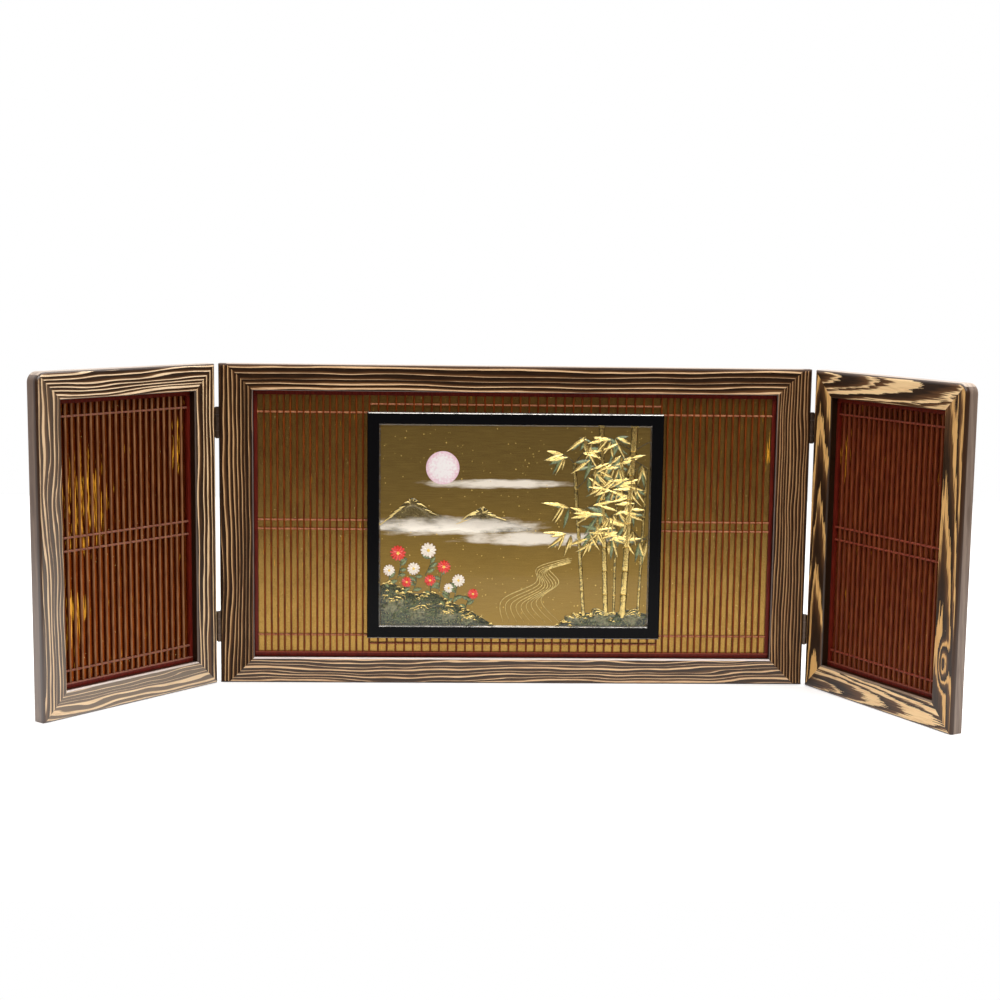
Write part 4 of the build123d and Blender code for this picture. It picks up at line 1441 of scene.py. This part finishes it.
# %% [markdown]
# ## Mossy bank, rocks and stream
#
# The bank at the left and the grove's ground at the right are pillows too, over outlines whose
# tops are soft curves and whose feet follow the board's edge. Rocks are uneven blobs with gold
# crests, short arched strokes of gold stand for tufts of moss, and the stream is a fan of
# thin gold lines on one course.

# %% Mossy bank and grove
MARGIN = 0.1
LEFT, RIGHT, FOOT = MARGIN - HALF_WIDE, HALF_WIDE - MARGIN, MARGIN - HALF_HIGH
BANK_LINE = [
    (LEFT, -62), (-126, -58), (-112, -67), (-98, -70), (-84, -68),
    (-68, -77), (-52, -84), (-36, -93), (-20, FOOT),
]
GROVE_LINE = [(44, FOOT), (56, -95), (74, -89), (94, -92), (116, -86), (RIGHT, -90)]

BANK_TOPS = [soft_curve(line, steps=7) for line in (BANK_LINE, GROVE_LINE)]
bank = BANK_TOPS[0] + [Vector((LEFT, FOOT))]
grove = BANK_TOPS[1] + [Vector((RIGHT, FOOT))]
mounds = [
    pillow(bank, 1.3, ruffle=0.6, peak=(-112, -90), steps=14, fold=0.35),
    pillow(grove, 1.1, ruffle=0.6, peak=(100, -99), steps=12, fold=0.35),
]
emboss("picture_bank", mounds, "moss_green")

# %% Rocks and tufts of moss
# Middle, half width and half height of each rock.
ROCKS = (
    (-122, -82, 14, 11),
    (-97, -89, 16, 10),
    (-68, -93, 13, 7),
    (-46, -97, 9, 5),
    (64, -96, 11, 6),
    (90, -94, 15, 8),
    (122, -94, 13, 8),
)
ROCK_HEIGHT = 1.7
# Gold crests follow the upper side of a rock's outline, at these shares of its size.
UPPER_SIDE = slice(3, 16)
CREST_SHARES = (0.9, 0.66, 0.42)
TUFTS = 150
TUFT_DROP = 16


def tuft(spot, drop):
    """A short arched stroke, some way below a point of the bank's top."""
    path = [spot + Vector((k * 1.1 - 2.2, 0.9 * sin(k * pi / 4) - drop)) for k in range(5)]
    return tapered(path, thick=1.6, height=0.7, lift=0.5)


rocks, crests, tufts = [], [], []
for u, v, wide, high in ROCKS:
    outline = blob(u, v, wide, high, uneven=0.6, count=36)
    rocks.append(pillow(outline, ROCK_HEIGHT, ruffle=0.6, steps=12, fold=0.45))
    for share in CREST_SHARES:
        path = [Vector((u, v)).lerp(p, share) for p in outline[UPPER_SIDE]]
        lift = ROCK_HEIGHT * (1 - share**2) ** 0.5 * 0.8
        crests.append(tapered(path, thick=1.3, height=0.5, lift=lift))
for i in range(TUFTS):
    line = BANK_TOPS[i % 2]
    spot = line[int(STREWN.random() * (len(line) - 1))]
    tufts.append(tuft(spot, STREWN.uniform(0, 1) ** 2 * TUFT_DROP))
tufts = [shape for shape in tufts if all(in_view(u, v) for u, v, lift in shape[0])]
emboss("picture_rocks", rocks, "stone_grey")
emboss("picture_moss_tufts", crests + tufts, "embossed_gold")

# %% Stream
# Points of the middle line, each with the stream's width there.
STREAM_COURSE = ((58, -32, 3), (30, -42, 12), (34, -58, 24), (8, -76, 40), (18, -99, 58))
STREAM_COUNT = 9
STREAM_SAG = 5

lines = []
for i in range(STREAM_COUNT):
    share = i / (STREAM_COUNT - 1) - 0.5
    sag = STREAM_SAG * (1 - 4 * share**2)
    course = [(u + share * wide, v - sag) for u, v, wide in STREAM_COURSE]
    course[-1] = (course[-1][0], STREAM_COURSE[-1][1])
    lines.append(tapered(soft_curve(course, steps=8), thick=1.0, height=0.4))
emboss("picture_stream", lines, "line_gold")

# %% [markdown]
# ## Bamboo
#
# A culm is a row of slightly waisted lengths with a raised ring between them. Thin branches
# leave the rings to either side, and leaves hang from the branches. The leaves' places are only
# gathered here, because they are stamped later.

# %% Bamboo culms and branches
# Foot, top and width of each culm.
CULMS = (
    ((112, -94), (121, 103.4), 7.0),
    ((95, -94), (87, 103.4), 5.4),
    ((72, -92), (60, 66), 4.0),
    ((128, -90), (134, 62), 3.2),
    ((103, -95), (104, 30), 3.0),
)
SEGMENT = 25.0
SEGMENT_SHARE = 0.965
WAISTS = ((0, 0.86), (0.07, 1.04), (0.5, 0.9), (0.93, 1.04), (1, 0.86))
RING_GAP = 0.45
RING_REACH = 0.6
RING_WIDTHS = (0.7, 1.0, 0.7)
BARE_RINGS = 2
BRANCH_CHANCE = 0.72


def culm(foot, top, width):
    """One bamboo culm: its shapes, and the place and direction of each ring."""
    run = Vector(top) - Vector(foot)
    count = round(run.length / SEGMENT)
    ahead = run.normalized()
    aside = Vector((-ahead.y, ahead.x)) * width * RING_REACH
    shapes, rings = [], []
    for i in range(count):
        low = Vector(foot) + run * (i / count)
        high = Vector(foot) + run * ((i + SEGMENT_SHARE) / count)
        path = [low.lerp(high, share) for share, waist in WAISTS]
        shapes.append(ribbon(path, [width * waist for share, waist in WAISTS], 0.55 + 0.13 * width))
        ring = high + ahead * RING_GAP
        shapes.append(ribbon([ring - aside, ring, ring + aside], RING_WIDTHS, 0.7 + 0.14 * width))
        rings.append((ring, ahead))
    return shapes, rings


def branch(ring, ahead, way):
    """A thin branch to one side of a ring: its shape and the places where its leaves hang."""
    reach = STREWN.uniform(13, 30)
    direction = Matrix.Rotation(way * STREWN.uniform(0.6, 1.2), 2) @ ahead
    tip = ring + direction * reach
    path = soft_curve([ring, ring.lerp(tip, 0.55) + ahead * 1.5, tip], steps=5)
    widths = [1.0 - 0.5 * k / (len(path) - 1) for k in range(len(path))]
    return ribbon(path, widths, height=0.5, lift=0.25), (path[5], path[8], path[-1])


culms, branches, leaf_points = [], [], []
for foot, top, width in CULMS:
    shapes, rings = culm(foot, top, width)
    culms += shapes
    for (ring, ahead), way in product(rings[BARE_RINGS:], (1, -1)):
        if STREWN.random() > BRANCH_CHANCE:
            continue
        shape, spots = branch(ring, ahead, way)
        branches.append(shape)
        for spot in spots:
            for leaf in range(STREWN.choice((2, 3, 3))):
                angle = way * radians(STREWN.uniform(70, 195))
                leaf_points.append((spot, angle, STREWN.uniform(13, 25), STREWN.uniform(3.0, 4.4)))
emboss("picture_bamboo_culms", culms, "embossed_gold")
emboss("picture_bamboo_branches", branches, "hill_gold")
print("places for bamboo leaves:", len(leaf_points))

# %% [markdown]
# ## Leaves and flowers
#
# Leaves, petals and the like come by the hundred, so each is one small shape, stamped with
# Geometry Nodes on a point for every copy. The shape has a raised middle line and a keel that
# reaches down to the board, so that no copy floats.

# %% Leaf and petal shapes
# Half widths from the foot to the tip.
LEAF_OUTLINE = (0.04, 0.34, 0.5, 0.46, 0.26, 0.02)
PETAL_OUTLINE = (0.12, 0.3, 0.44, 0.5, 0.44, 0.2)
DOME_OUTLINE = (0.1, 0.38, 0.5, 0.5, 0.38, 0.1)
# Places across the shape, in half widths, and their share of its height.
RIDGED = ((0, 1),)
DOMED = ((-0.5, 0.7), (0.5, 0.7))
KEEL = 1.5


def stamp_shape(name, outline, crest=RIDGED, start=0.0):
    """A small closed shape one unit long, wide and high, pointing up v from its foot."""
    last = len(outline) - 1
    loops = []
    for i, half in enumerate(outline):
        v = start + i / last
        crown = 0.15 + 1.7 * half
        top = [(half * across, v, crown * share) for across, share in crest]
        loops.append([(-half, v, 0), *top, (half, v, 0), (0, v, -KEEL)])
    holder = bpy.data.objects.new(name, closed_mesh(name, *skin(loops)))
    bpy.context.scene.collection.objects.link(holder)
    return holder


def stamp(name, shape, points, finish):
    """Stands a small shape on points of the board: (u, v, lift, angle, width, length, relief)."""
    placed = []
    for u, v, lift, angle, wide, long, height in points:
        placed.append(((u, v, lift), (0, 0, angle), (wide, long, height)))
    inputs = {"Shape": shape, "Finish": relief[finish]}
    piece = grow(name, carrier(placed), STAMPS, inputs, ON_BOARD, smooth_angle=25)
    hand_over(piece, "centre", "picture_panel")


LEAF_SHAPE = stamp_shape("leaf_shape", LEAF_OUTLINE)
PETAL_SHAPE = stamp_shape("petal_shape", PETAL_OUTLINE)
DOME_SHAPE = stamp_shape("dome_shape", DOME_OUTLINE, DOMED, -0.5)
print("faces of a leaf:", len(LEAF_SHAPE.data.polygons))

# %% Bamboo leaves
# Height over the board of each kind: gold leaves lie over green ones.
LEAF_LIFTS = {"green": 0.35, "gold": 0.75}
LEAF_HEIGHT = 0.7
GREEN_CHANCE = 0.42

leaves = {kind: [] for kind in LEAF_LIFTS}
for spot, angle, long, wide in leaf_points:
    tip = (spot.x - long * sin(angle), spot.y + long * cos(angle))
    if in_view(*tip, margin=2) and in_view(*spot, margin=1):
        kind = "green" if STREWN.random() < GREEN_CHANCE else "gold"
        leaves[kind].append((spot.x, spot.y, LEAF_LIFTS[kind], angle, wide, long, LEAF_HEIGHT))
stamp("picture_bamboo_leaves_green", LEAF_SHAPE, leaves["green"], "leaf_green")
stamp("picture_bamboo_leaves_gold", LEAF_SHAPE, leaves["gold"], "embossed_gold")

# %% [markdown]
# A chrysanthemum is two rings of petals round a domed heart, the inner ring shorter, higher
# and turned by half a petal. Every stem is a soft curve from the bank to its flower, with
# leaves to either side.

# %% Chrysanthemums
# Middle, radius and colour of each flower.
FLOWERS = (
    (-119, -28, 8.0, "red"),
    (-103, -44, 6.5, "white"),
    (-88, -25, 8.0, "white"),
    (-72, -42, 7.0, "red"),
    (-57, -56, 6.5, "white"),
    (-128, -46, 6.0, "white"),
    (-86, -56, 6.0, "red"),
    (-110, -58, 5.5, "red"),
    (-42, -70, 5.5, "red"),
    (-67, -64, 5.0, "white"),
)
# Petals, share of the radius, height over the board and share of a petal's turn of each ring.
PETAL_RINGS = ((13, 1.0, 0.5, 0.0), (8, 0.62, 0.85, 0.5))
PETAL_WIDTH = 0.42
HEART_WIDTH = 0.46
STEM_FOOT = -86
STEM_DROP = 26
STEM_WIDTH = 0.9

petals = {"red": [], "white": []}
stems, stem_leaves, hearts = [], [], []
for u, v, radius, colour in FLOWERS:
    foot = Vector((u * 0.9 - 12, max(v - STEM_DROP, STEM_FOOT)))
    flower = Vector((u, v))
    bend = Vector((STREWN.uniform(-4, 4), 0))
    path = soft_curve([foot, foot.lerp(flower, 0.5) + bend, flower], steps=6)
    stems.append(ribbon(path, [STEM_WIDTH] * len(path), height=0.5))
    for spot in path[2:-3:2]:
        angle = STREWN.choice((1, -1)) * STREWN.uniform(0.6, 1.6)
        stem_leaves.append((spot.x, spot.y, 0.4, angle, 4.2, STREWN.uniform(6, 10), 0.6))
    for count, share, lift, stagger in PETAL_RINGS:
        long = radius * share
        for k in range(count):
            angle = 2 * pi * (k + stagger) / count + STREWN.uniform(-0.06, 0.06)
            petals[colour].append((u, v, lift, angle, long * PETAL_WIDTH, long, 0.5))
    hearts.append((u, v, 1.0, 0.0, radius * HEART_WIDTH, radius * HEART_WIDTH, 0.7))
emboss("picture_stems", stems, "leaf_green")
stamp("picture_stem_leaves", LEAF_SHAPE, stem_leaves, "leaf_green")
stamp("picture_petals_red", PETAL_SHAPE, petals["red"], "petal_red")
stamp("picture_petals_white", PETAL_SHAPE, petals["white"], "petal_white")
stamp("picture_flower_hearts", DOME_SHAPE, hearts, "heart_yellow")
for shape in (LEAF_SHAPE, PETAL_SHAPE, DOME_SHAPE):
    bpy.data.objects.remove(shape)

# %% [markdown]
# ## Gold dust
#
# Last, coarse gold dust is strewn over the whole board, as a maker sifts it onto wet lacquer.
# The fleck tree does it again, with larger and fewer plates that lie flatter.

# %% Gold dust
DUST = {
    "Density": 6500.0,
    "Smallest": 0.15 * MM,
    "Largest": 0.8 * MM,
    "Thickness": 0.12 * MM,
    "Tilt": 0.1,
    "Seed": 5,
    "Finish": relief["dust_gold"],
}
reach = Vector((HALF_WIDE - 1, 0, HALF_HIGH - 1)) * MM
sheet = face_sheet(BOARD_FRONT - reach, BOARD_FRONT + reach, BOARD_FRONT.y)
hand_over(grow("picture_gold_dust", sheet, FLECKS, DUST, CENTRE_AXES), "centre", "picture_panel")
